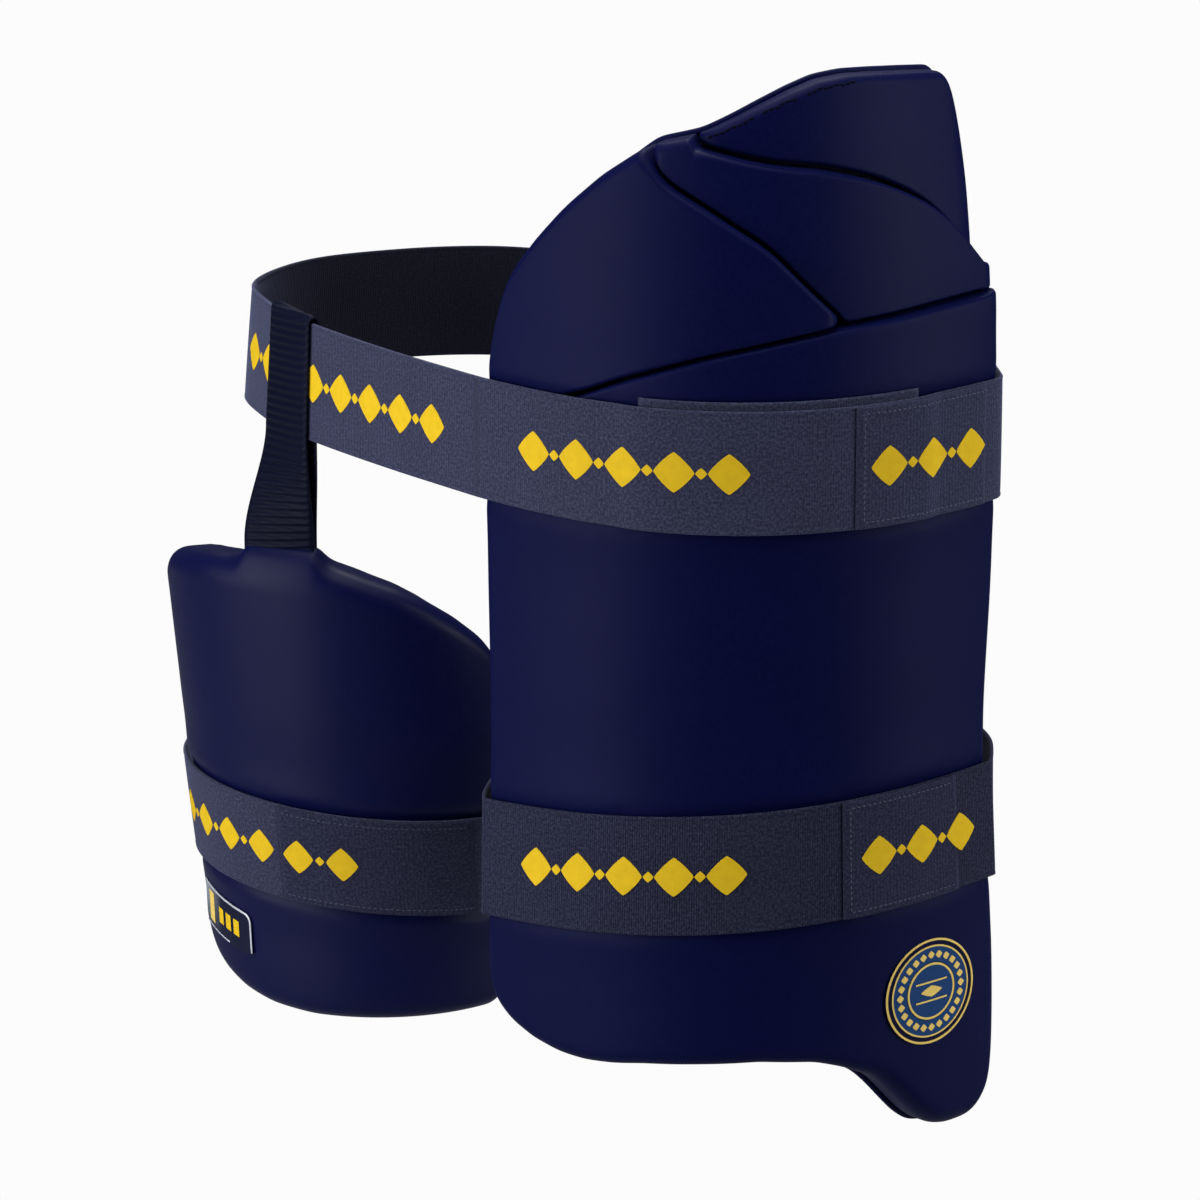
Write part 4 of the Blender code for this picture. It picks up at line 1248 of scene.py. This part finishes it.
def waist_loop():
    front = across_pad(-RUN_REACH, RUN_REACH, at_waist, STRAP_OUT, lift=strap_lift)
    route = [(a * WAIST_HALF_WIDTH, -b * WAIST_HALF_DEPTH, 0.0) for a, b in WAIST_ROUTE]
    guides = [front[-4], front[-1], *route, front[0], front[3]]
    return ease_loop(np.concatenate([front[:-1], curve_through(guides, 9)]))


def splay(points, height):
    """The loop's lower border stands out at the far hip, its upper border leans in."""
    share = smooth_step(-points[:, 0] / WAIST_HALF_WIDTH)
    level = np.clip(2.0 * height / STRAP_WIDTH, -1.0, 1.0)
    scale = 1.0 - WAIST_SPLAY * share * level / WAIST_HALF_WIDTH
    return np.stack([points[:, 0] * scale, points[:, 1] * scale, height + 0.0 * scale], axis=1)


waist_line = waist_loop()
half = 0.5 * STRAP_WIDTH
waist_strap = sweep_strap("waist_belt", splay(waist_line, -half), splay(waist_line, half),
                          STRAP_THICK, True)
dress(waist_strap, elastic, "waist elastic", ["waist_strap"])
belt_length = float(walk(np.vstack([waist_line, waist_line[:1]]))[-1])
print("belt length in mm:", round(1000 * belt_length))

# %% The layer under the waist strap and the fastening tab over it
UNDER_STEP, TAB_INSET = 0.0032, 0.0003


def lifted(points, rise):
    return points + np.array([0.0, 0.0, 1.0]) * rise


under = across_pad(UNDER_FROM, UNDER_TO, at_waist, FIT_GAP + 0.5 * TAB_THICK)
layer = sweep_strap("belt_under_layer", lifted(under, -half), lifted(under, half + UNDER_STEP),
                    TAB_THICK, False)
dress(layer, elastic, "waist elastic", ["waist_under_layer"])
tab_line = across_pad(*WAIST_TAB, at_waist, TAB_OUT, lift=strap_lift)
tab = sweep_strap("belt_tab", lifted(tab_line, TAB_INSET - half),
                  lifted(tab_line, half - TAB_INSET), TAB_THICK, False, beads=False)
dress(tab, brushed, "waist elastic", ["waist_tab"])

# %% [markdown]
# ## The thigh strap and the inner strap
# The thigh strap leaves both sides of the outer pad and closes behind the leg. Its borders
# are worked out apart, because the pad is narrower at one height than at the other. The
# inner strap lies on the cone of the inner pad and goes all round.

# %% Thigh strap
THIGH_LOOP_DEPTH = 0.118
THIGH_TAB = (0.337, 0.800)
THIGH_ROUTE = [
    (0.838, 0.12), (0.838, 0.36), (0.755, 0.66), (0.510, 0.90), (0.160, 1.00),
    (-0.220, 0.94), (-0.555, 0.70), (-0.775, 0.40), (-0.832, 0.14)]


def thigh_border(side):
    def level(along):
        return THIGH_RISE * along - THIGH_DROP + side * half
    return level


def place_border(points, side):
    """Moves plan points of the thigh loop to the strap's lower or upper border."""
    placed = points.copy()
    placed[:, 2] = thigh_rise(points) - THIGH_DROP + side * half
    return placed


def thigh_loop(side):
    front = across_pad(-RUN_REACH, RUN_REACH, thigh_border(side), STRAP_OUT)
    front[:, 2] = 0.0
    edge_behind = from_frame(front[:1])[1][0]
    route = to_frame(np.array([RIDGE_ACROSS + a * PAD_HALF for a, b in THIGH_ROUTE]),
                     np.array([edge_behind + b * THIGH_LOOP_DEPTH for a, b in THIGH_ROUTE]), 0.0)
    guides = [front[-4], front[-1], *route, front[0], front[3]]
    return np.concatenate([front[:-1], curve_through(guides, 9)])


def thigh_borders():
    """Both borders, eased in step so that each line across the strap stays upright."""
    return [place_border(eased(thigh_loop(side), 4), side) for side in (-1, 1)]


thigh_strap = sweep_strap("thigh_belt", *thigh_borders(), STRAP_THICK, True)
dress(thigh_strap, ribbed, "thigh elastic", ["thigh_strap"])
tab_borders = [place_border(across_pad(*THIGH_TAB, thigh_border(side), TAB_OUT), side * 0.99)
               for side in (-1, 1)]
tab = sweep_strap("thigh_belt_tab", *tab_borders, TAB_THICK, False, beads=False)
dress(tab, dark_brushed, "thigh elastic", ["thigh_tab"])

# %% Inner strap
INNER_TAB = (-0.175, 0.745)
inner_half = 0.5 * INNER_STRAP_WIDTH


def inner_border(along, side, out, share=1.0):
    height = -INNER_STRAP_DROP + inner_strap_rise(along, out) + side * inner_half * share
    return inner_points(along, height, out)


around = np.linspace(0.0, 2.0 * np.pi * INNER_RADIUS, 201)[:-1]
inner_strap = sweep_strap("inner_belt", inner_border(around, -1, STRAP_OUT),
                          inner_border(around, 1, STRAP_OUT), STRAP_THICK, True)
dress(inner_strap, elastic, "inner elastic", ["inner_strap"])
span = spread(*INNER_TAB, 61) * INNER_HALF
tab = sweep_strap("inner_belt_tab", inner_border(span, -1, TAB_OUT, 0.98),
                  inner_border(span, 1, TAB_OUT, 0.98), TAB_THICK, False, beads=False)
dress(tab, dark_brushed, "inner elastic", ["inner_tab"])

# %% [markdown]
# ## The hanger
# One length of ribbed webbing is folded over the waist strap, and both legs are sewn into
# the inner pad's top. The ribs are over 3 mm apart and deep enough to catch light, so they are
# real waves in the mesh. The legs turn from the belt's direction to the pad's on the way.

# %% The webbing's path over the belt
RIB_PITCH, RIB_DEEP, RIB_SLANT, WEB_BORDER = 0.0034, 0.00040, 0.10, 0.002
WEB_BODY, WEB_MIDDLE = 0.40, 0.20
LEG_STEPS, STRIPS, SEAM_ABOVE, BELT_PROBE = 280, 14, 0.0006, 0.002
fold = 0.5 * STRAP_THICK + FIT_GAP + 0.5 * HANGER_THICK
fold_foot = half
seat_height = -INNER_TOP + SEAM_ABOVE
ring = np.vstack([waist_line[:1], waist_line[:0:-1], waist_line[:1]])
ring_distance = walk(ring)


def on_belt(distance):
    """A point of the belt's line and its outward direction, by the distance back round it."""
    point = point_at(distance, ring_distance, ring)
    way = unit(point_at(distance + BELT_PROBE, ring_distance, ring) - point)
    return point, np.array([-way[1], way[0], 0.0])


outer_leg = [(h, fold) for h in np.linspace(seat_height, fold_foot, LEG_STEPS)]
bend = [(fold_foot + fold * math.sin(t), fold * math.cos(t))
        for t in np.linspace(0.0, math.pi, 21)[1:-1]]
inner_leg = [(h, -fold) for h in np.linspace(fold_foot, seat_height, LEG_STEPS)]
path = outer_leg + bend + inner_leg
print("rows of the webbing:", len(path))

# %% The webbing's middle sheet
web_points, web_run, walked, last = [], [], 0.0, None
seat_along = HANGER_SEAT * INNER_HALF
for height, out in path:
    share = float(smooth_step((fold_foot + height) / (fold_foot + seat_height) / HANGER_SWING))
    line = []
    for i in range(STRIPS + 1):
        place = (i / STRIPS - 0.5) * HANGER_WIDTH
        top, top_out = on_belt(HANGER_PLACE * belt_length + place)
        seat = inner_points(seat_along - place, -INNER_TOP, -0.5 * INNER_DEEP)
        turn = INNER_TURN + (seat_along - place) / INNER_RADIUS
        seat_out = to_frame(math.sin(turn), -math.cos(turn), 0.0)
        way = top_out * (1.0 - share) + seat_out * share
        middle = top * (1.0 - share) + seat * share
        line.append(np.append((middle + unit(way) * out)[:2], height))
    line = splay(np.array(line), height)
    if last is not None:
        walked += float(np.linalg.norm(line[STRIPS // 2] - last))
    last = line[STRIPS // 2]
    web_points.append(line)
    web_run.append(walked)

web_points = np.array(web_points)
web_run = np.array(web_run)
print("webbing length in mm:", round(1000 * walked))

# %% The webbing's two ribbed faces
ahead = np.gradient(web_points, axis=0)
sideways = np.gradient(web_points, axis=1)
web_normal = unit(np.cross(sideways, ahead))
place = (np.arange(STRIPS + 1) / STRIPS - 0.5) * HANGER_WIDTH
wave = np.sin(2.0 * np.pi * (web_run[:, None] + RIB_SLANT * place[None, :]) / RIB_PITCH)
taper = smooth_step((0.5 * HANGER_WIDTH - np.abs(place)) / WEB_BORDER)
thick = 0.5 * HANGER_THICK * (WEB_BODY + WEB_MIDDLE * taper) + RIB_DEEP * wave * taper
outer = web_points + web_normal * thick[..., None]
inside = web_points - web_normal * thick[..., None]
rings = np.concatenate([outer, inside[:, ::-1]], axis=1)
count, around_web = rings.shape[:2]
hanger = make_object("hanger_webbing", rings.reshape(-1, 3),
                     grid_faces(count, around_web, capped=True))
face_outward(hanger)
both_faces = np.concatenate([place, place[::-1]])
write_run(hanger, np.repeat(web_run, around_web), np.tile(both_faces, count))
dress(hanger, webbing, "hanger webbing", ["hanger"])

# %% [markdown]
# ## Stitches
# The fastening tabs are sewn on with a straight stitch near each border, and both lines
# are easy to see. A stitch is a short raised bar with round ends. One template is copied
# along each seam and all copies of a seam become one mesh, which keeps the piece list
# short.

# %% Stitch rows
STITCH = [(-0.5, 0.10), (-0.42, 0.62), (-0.2, 0.95), (0.2, 0.95), (0.42, 0.62), (0.5, 0.10)]


def stitch_rows(name, seams, length=0.0014, width=0.00050, pitch=0.0024, rise=0.8):
    """Rows of stitches; each seam is a line of points and of outward directions."""
    points, faces, run = [], [], []
    sides = 6
    turns = circle(sides)
    for line, away in seams:
        spans = walk(line)
        for distance in np.arange(0.5 * pitch, spans[-1], pitch):
            centre = point_at(distance, spans, line)
            way = unit(point_at(distance + 1e-4, spans, line) - centre)
            out = point_at(distance, spans, away)
            side = np.cross(out, way)
            faces += grid_faces(len(STITCH), sides, capped=True, base=len(points))
            for place, size in STITCH:
                for turn in turns:
                    points.append(centre + way * place * length
                                  + side * math.cos(turn) * 0.5 * width * size
                                  + out * (math.sin(turn) * 0.5 * width * size * rise))
                    run.append((distance + place * length, math.cos(turn) * width))
    made = make_object(name, points, faces)
    face_outward(made)
    write_run(made, *np.array(run).T)
    return made


print("rings in a stitch:", len(STITCH))

# %% The seams of the three tabs
TAB_FACE = TAB_OUT + 0.5 * TAB_THICK
SEAM_INSET, SEAM_FAR_END = 0.0030, 0.0010


def waist_seam(along, side):
    line = pad_points(along, side, TAB_FACE + strap_lift(along))
    return line, outward(pad_points, along, side, TAB_FACE)


def thigh_seam(along, side):
    line = pad_points(along, THIGH_RISE * along - THIGH_DROP + side, TAB_FACE)
    line[:, 2] = thigh_rise(line) - THIGH_DROP + side
    return line, outward(pad_points, along, line[:, 2])


def inner_seam(along, side):
    height = -INNER_STRAP_DROP + inner_strap_rise(along, TAB_FACE) + side
    return inner_points(along, height, TAB_FACE), outward(inner_points, along, height, TAB_FACE)


def tab_seams(seam, first, last, top):
    """A tab's seams: along its upper border, along its lower border and up its first end."""
    corners = [(first, last, top, top), (first, last, -top, -top), (first, first, -top, top)]
    return [seam(np.linspace(a, b, 60), np.linspace(c, d, 60)) for a, b, c, d in corners]


for name, seam, ends, size, far, width, slot_name in (
        ("belt_tab_stitches", waist_seam, WAIST_TAB, PAD_HALF, SEAM_FAR_END, half,
         "waist elastic"),
        ("thigh_tab_stitches", thigh_seam, THIGH_TAB, PAD_HALF, SEAM_INSET, half,
         "thigh elastic"),
        ("inner_tab_stitches", inner_seam, INNER_TAB, INNER_HALF, SEAM_INSET, inner_half,
         "inner elastic")):
    seams = tab_seams(seam, ends[0] * size + SEAM_INSET, ends[1] * size - far, width - SEAM_INSET)
    dress(stitch_rows(name, seams), thread, slot_name)

# %% [markdown]
# ## Stitches along the top rim
# Where the cover is turned over the hip's top, an uneven dark zigzag shows just inside the
# border, and it comes and goes. It is drawn in three stretches, each laid on the hip
# plate's own cover.

# %% Rim stitches
RIM_WAVES = 700.0
RIM_STITCH = {"length": 0.0021, "width": 0.0011, "pitch": 0.0025}
hip_mesh = bpy.data.objects["hip_plate_cover"].data
hip_faces = BVHTree.FromPolygons([p.co for p in hip_mesh.vertices],
                                 [tuple(f.vertices) for f in hip_mesh.polygons])


def top_seam(first, last, inset, wobble):
    """A wavering seam on the hip plate's cover, as the simulation left it."""
    along = np.linspace(first, last, 70) * PAD_HALF
    height = np.interp(along, TOP_AT, TOP_UP) - inset + wobble * np.sin(along * RIM_WAVES)
    rough = pad_points(along, height, HIP_DEEP - BLOCK_DEEP - rim_fall(inset, THIN_SOFT))
    found = [hip_faces.find_nearest(Vector(point)) for point in rough]
    return np.array([f[0] for f in found]), np.array([f[1] for f in found])


rim_seams = [top_seam(-0.15, 0.03, 0.0022, 0.0003), top_seam(0.07, 0.22, 0.0020, 0.0004),
             top_seam(0.25, 0.46, 0.0022, 0.0003)]
dress(stitch_rows("rim_stitches", rim_seams, **RIM_STITCH), dark_thread, "foam cover")

# %% [markdown]
# ## Woven marks on the straps
# The straps carry a yellow woven pattern. Here it is a plain row of lozenges, of the same
# height and yellow. Each lozenge is a thin patch with rounded corners that follows the
# strap's curve, raised by less than a fifth of a millimetre, as a dense yarn stands above
# the ground weave.

# %% Lozenge patches
def lozenges(name, place, centres, size, material, slot_name, rise=0.00018):
    """Flat lozenges at the given centres; place puts along and across on the strap."""
    points, faces, run = [], [], []
    sides = 24
    wide, tall = squared(circle(sides), MARK_POWER)
    rings = ((1.0, -PRINT_FOOT), (0.99, rise), (0.7, rise), (0.35, rise))
    for cx, cy in centres:
        faces += grid_faces(len(rings), sides, base=len(points))
        for ring, lift in rings:
            along = cx + 0.5 * size[0] * wide * ring
            across = cy + 0.5 * size[1] * tall * ring
            points += list(place(along, across, lift))
            run += list(zip(along, across))
        centre, last = len(points), len(points) - sides
        faces += [(last + j, last + (j + 1) % sides, centre) for j in range(sides)]
        points += list(place(np.array([cx]), np.array([cy]), rise))
        run.append((cx, cy))
    dress_patch(name, points, faces, run, MARK_SHARP, material, slot_name)


PRINT_FOOT, WEAVE_DIP = 0.0003, 0.00004
MARK_POWER, MARK_SHARP, PATCH_SHARP = 1.7, 35.0, 40.0
STRAP_FACE = FIT_GAP + STRAP_THICK - WEAVE_DIP
MARK, SMALL_MARK, MARK_STEP = (0.0162, 0.0165), (0.0046, 0.0046), 0.0212
INNER_MARK, INNER_SMALL_MARK, INNER_MARK_STEP = (0.0145, 0.0150), (0.0042, 0.0042), 0.0205
print("lozenge helper ready")

# %% Marks on the waist strap and the thigh strap
belt_reach, _, belt_out = pad_places(waist_line)
over_pad = (np.abs(belt_out) < 0.4 * BLOCK_DEEP) & (np.abs(belt_reach) < 0.97 * PAD_HALF)
order = np.argsort(belt_reach[over_pad])
belt_reach, belt_out = belt_reach[over_pad][order], belt_out[over_pad][order]


def on_waist(along, across, lift):
    """The belt's line was eased, so its own face is looked up where no tab covers it."""
    bare = np.interp(reach_of(along, 0.0), belt_reach, belt_out)
    bare = bare + 0.5 * STRAP_THICK - WEAVE_DIP
    face = np.where(along > WAIST_TAB[0] * PAD_HALF, TAB_FACE + strap_lift(along), bare)
    return pad_points(along, across, face + lift)


def on_thigh(along, across, lift):
    face = np.where(along > THIGH_TAB[0] * PAD_HALF, TAB_FACE, STRAP_FACE)
    rough = pad_points(along, THIGH_RISE * along - THIGH_DROP + across, face + lift)
    rough[:, 2] = thigh_rise(rough) - THIGH_DROP + across
    return rough


def mark_row(first, count, step=MARK_STEP):
    return [(first + step * i, 0.0) for i in range(count)]


def between(marks, step=MARK_STEP):
    """The small marks that follow each large one of a list."""
    return [(x + 0.5 * step, y) for x, y in marks]


front_marks, side_marks = mark_row(-0.0905, 5), mark_row(0.0575, 3)
small_marks = between(front_marks[:-1] + side_marks[:-1])
for strap, place, slot_name in (("belt", on_waist, "waist elastic"),
                                ("thigh_belt", on_thigh, "thigh elastic")):
    lozenges(strap + "_marks", place, front_marks + side_marks, MARK, yellow_yarn, slot_name)
    lozenges(strap + "_small_marks", place, small_marks, SMALL_MARK, yellow_yarn, slot_name)

# %% Marks on the belt's free stretch and on the inner strap
def on_free_belt(along, across, lift):
    """Along is the distance back from the pad's front edge round the belt."""
    middle, away = (np.array(values) for values in zip(*[on_belt(d) for d in along]))
    return splay(middle + away * (0.5 * STRAP_THICK - WEAVE_DIP + lift), across)


def on_inner(along, across, lift):
    """The inner strap is straight between its borders, so the marks lie between them too."""
    face = np.where(along > INNER_TAB[0] * INNER_HALF, TAB_FACE, STRAP_FACE) + lift
    low, high = (inner_border(along, side, face) for side in (-1, 1))
    return low + (high - low) * (0.5 + across / INNER_STRAP_WIDTH)[:, None]


free_marks = mark_row(0.0300, 8)
inner_marks = mark_row(-0.0895, 6, INNER_MARK_STEP)
inner_small = between(inner_marks[:3] + inner_marks[4:-1], INNER_MARK_STEP)
for name, place, centres, size, slot_name in (
        ("free_belt_marks", on_free_belt, free_marks, MARK, "waist elastic"),
        ("free_belt_small_marks", on_free_belt, between(free_marks[:-1]), SMALL_MARK,
         "waist elastic"),
        ("inner_belt_marks", on_inner, inner_marks, INNER_MARK, "inner elastic"),
        ("inner_belt_small_marks", on_inner, inner_small, INNER_SMALL_MARK, "inner elastic")):
    lozenges(name, place, centres, size, yellow_yarn, slot_name)

# %% [markdown]
# ## The round badge
# A round transfer sits low on the outer pad: two gold rings round a blue band, a third
# gold ring, and a blue middle. In the band and the middle there are only plain lozenges
# and bars. Each ring is a flat hoop laid on the pad's curve at its own small height, so
# that none of them fights with the one under it.

# %% Badge
BAND_LIFT, RING_LIFT, BAR_LIFT = 0.00012, 0.00022, 0.00024
PLATE_FOOT, PLATE_SIDES, CENTRE_RADIUS = 0.0012, 96, 0.00002


def on_badge(x, y, lift):
    return pad_points(BADGE_ALONG + x, BADGE_HEIGHT + y, FIT_GAP + lift)


def rings_of(place, shape, rings):
    """Points, faces and run of rings; each ring is a size and a level."""
    x, y = shape
    points = np.concatenate([place(x * size, y * size, level) for size, level in rings])
    run = np.concatenate([np.stack([x * size, y * size], axis=1) for size, level in rings])
    return points, grid_faces(len(rings), len(x)), run


def hoop(name, inner, outer, lift, material, nodes=(), foot=None):
    """A flat ring from one radius to another, or a disc when inner is nothing."""
    turns = circle(PLATE_SIDES)
    foot = lift - PRINT_FOOT if foot is None else foot
    rings = [(outer, foot), (outer, lift)]
    rings += [(outer + (inner - outer) * t, lift) for t in (0.34, 0.67, 1.0)]
    if inner > 0.0:
        rings.append((inner, foot))
    rings = [(max(radius, CENTRE_RADIUS), level) for radius, level in rings]
    dress_patch(name, *rings_of(on_badge, (np.cos(turns), np.sin(turns)), rings),
                PATCH_SHARP, material, "badge", nodes)


hoop("badge_ground", 0.0, BADGE_RADIUS, 0.0, navy_ink, ["round_badge"], -PLATE_FOOT)
for name, inner, outer, lift, material in (
        ("badge_band", 0.0125, 0.0190, BAND_LIFT, blue_ink),
        ("badge_middle", 0.0, 0.0112, BAND_LIFT, blue_ink),
        ("badge_outer_ring", 0.0216, BADGE_RADIUS, RING_LIFT, gold_ink),
        ("badge_second_ring", 0.0190, 0.0197, RING_LIFT, gold_ink),
        ("badge_inner_ring", 0.0112, 0.0121, RING_LIFT, gold_ink)):
    hoop(name, inner, outer, lift, material)

# %% Badge marks
BAND_MARKS, BAND_MARK_RADIUS, MARK_LIFT = 24, 0.0157, 0.00014


def on_band(x, y, lift):
    return on_badge(x, y, MARK_LIFT + lift)


def bar(name, place, centre, size, lift, material, slot_name):
    """A flat bar laid on a curved face."""
    x = np.linspace(-0.5, 0.5, 15) * size[0]
    rows = [(-0.5, -PRINT_FOOT), (-0.5, 0.0), (0.0, 0.0), (0.5, 0.0), (0.5, -PRINT_FOOT)]
    points = np.concatenate([place(centre[0] + x, centre[1] + y * size[1], lift + z)
                             for y, z in rows])
    made = make_object(name, points, grid_faces(len(rows), len(x), ring=False), smooth=False)
    write_run(made, np.tile(x, len(rows)), np.repeat([y * size[1] for y, z in rows], len(x)))
    dress(made, material, slot_name)


band_marks = [(BAND_MARK_RADIUS * math.cos(t), BAND_MARK_RADIUS * math.sin(t))
              for t in circle(BAND_MARKS)]
for name, centres, size in (("badge_band_marks", band_marks, (0.0034, 0.0034)),
                            ("badge_middle_mark", [(0.0, 0.0)], (0.0110, 0.0048))):
    lozenges(name, on_band, centres, size, gold_ink, "badge", 0.0001)
for name, level in (("badge_bar_high", 0.0040), ("badge_bar_low", -0.0040)):
    bar(name, on_badge, (0.0, level), (0.0160, 0.0007), BAR_LIFT, gold_ink, "badge")

# %% [markdown]
# ## The small label
# A label is stuck low on the inner pad: a dark plate with a silver line along its top and
# right edge, a pale field that fades out to the right, and a gold block at its left. Small
# plain blocks stand in the middle. The fading field is the only gradient on the guard, so
# it has a material of its own that reads the place on the label.

# %% Label ground with its fading field
LABEL_OUT, LABEL_FOOT, LABEL_SQUARENESS = 0.0004, 0.0014, 2.0 / 7.0


def on_label(x, y, lift):
    return inner_points(LABEL_ALONG + x, LABEL_LEVEL + y + LABEL_SLOPE * x, LABEL_OUT + lift)


DARK_FIELD, PALE_FIELD = (0.0025, 0.0045, 0.020, 1.0), (0.20, 0.23, 0.28, 1.0)
fading, g, shader = new_material("fading label")
apart = g.add("ShaderNodeSeparateXYZ")
g.feed(apart.inputs[0], g.run())
field = g.math("MULTIPLY", g.remap(apart.outputs[0], -0.021, -0.002, 1.0, 0.0),
               g.remap(apart.outputs[1], -0.009, 0.004, 0.15, 1.0), clamp=True)
g.feed(shader.inputs["Base Color"], g.mix(field, DARK_FIELD, PALE_FIELD))
shader.inputs["Specular IOR Level"].default_value = 0.12
g.feed(shader.inputs["Roughness"], g.remap(field, 0.0, 1.0, 0.42, 0.30))

# The plate is a rounded rectangle laid on the pad, as rings that shrink to its middle.
wide, tall = squared(circle(PLATE_SIDES), LABEL_SQUARENESS)
rings = [(1.0, -LABEL_FOOT)] + [(size, 0.0) for size in (1.0, 0.8, 0.6, 0.4, 0.2, 0.002)]
outline = (0.5 * LABEL_WIDE * wide, 0.5 * LABEL_TALL * tall)
dress_patch("label_ground", *rings_of(on_label, outline, rings), PATCH_SHARP, fading,
            "label", ["small_label"])

# %% Label border and blocks
LINE_INSET, LINE_LIFT, LINE_START, LINE_END = 0.0006, 0.0001, 0.0010, 0.0020
LABEL_CORNER, LOW_LINE, BLOCK_LIFT = 0.0040, 0.026, 0.00018
right, top = 0.5 * LABEL_WIDE, 0.5 * LABEL_TALL
bend_radius = LABEL_CORNER - LINE_INSET
border_edge = [(x, top - LINE_INSET)
               for x in np.linspace(LINE_START - right, right - LABEL_CORNER, 22)]
border_edge += [(right - LABEL_CORNER + bend_radius * math.sin(t),
                 top - LABEL_CORNER + bend_radius * math.cos(t))
                for t in np.linspace(0.0, 0.5 * math.pi, 6)[1:]]
border_edge += [(right - LINE_INSET, y)
                for y in np.linspace(top - LABEL_CORNER, LINE_END - top, 8)[1:]]
low_edge = [(LINE_END - right + x, LINE_INSET - top) for x in np.linspace(0.0, LOW_LINE, 14)]
for name, edge, radius in (("label_border", border_edge, 0.00055),
                           ("label_low_line", low_edge, 0.00035)):
    x, y = np.array(edge).T
    bead = sweep_bead(name, on_label(x, y, LINE_LIFT), radius, outward(on_label, x, y),
                      closed=False, flat=0.5)
    dress(bead, silver_ink, "label")
bar("label_gold_block", on_label, (-0.0130, 0.0), (0.0062, 0.0135), BLOCK_LIFT, gold_ink, "label")
for i in range(3):
    bar(f"label_block_{i + 1}", on_label, (-0.0020 + 0.0068 * i, 0.0), (0.0044, 0.0070),
        BLOCK_LIFT, yellow_yarn, "label")

# %% [markdown]
# ## The dressed guard's box
# The box of the dressed guard is worked out, over every shown piece but the floor.

# %% Sizes and finish
low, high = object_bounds()
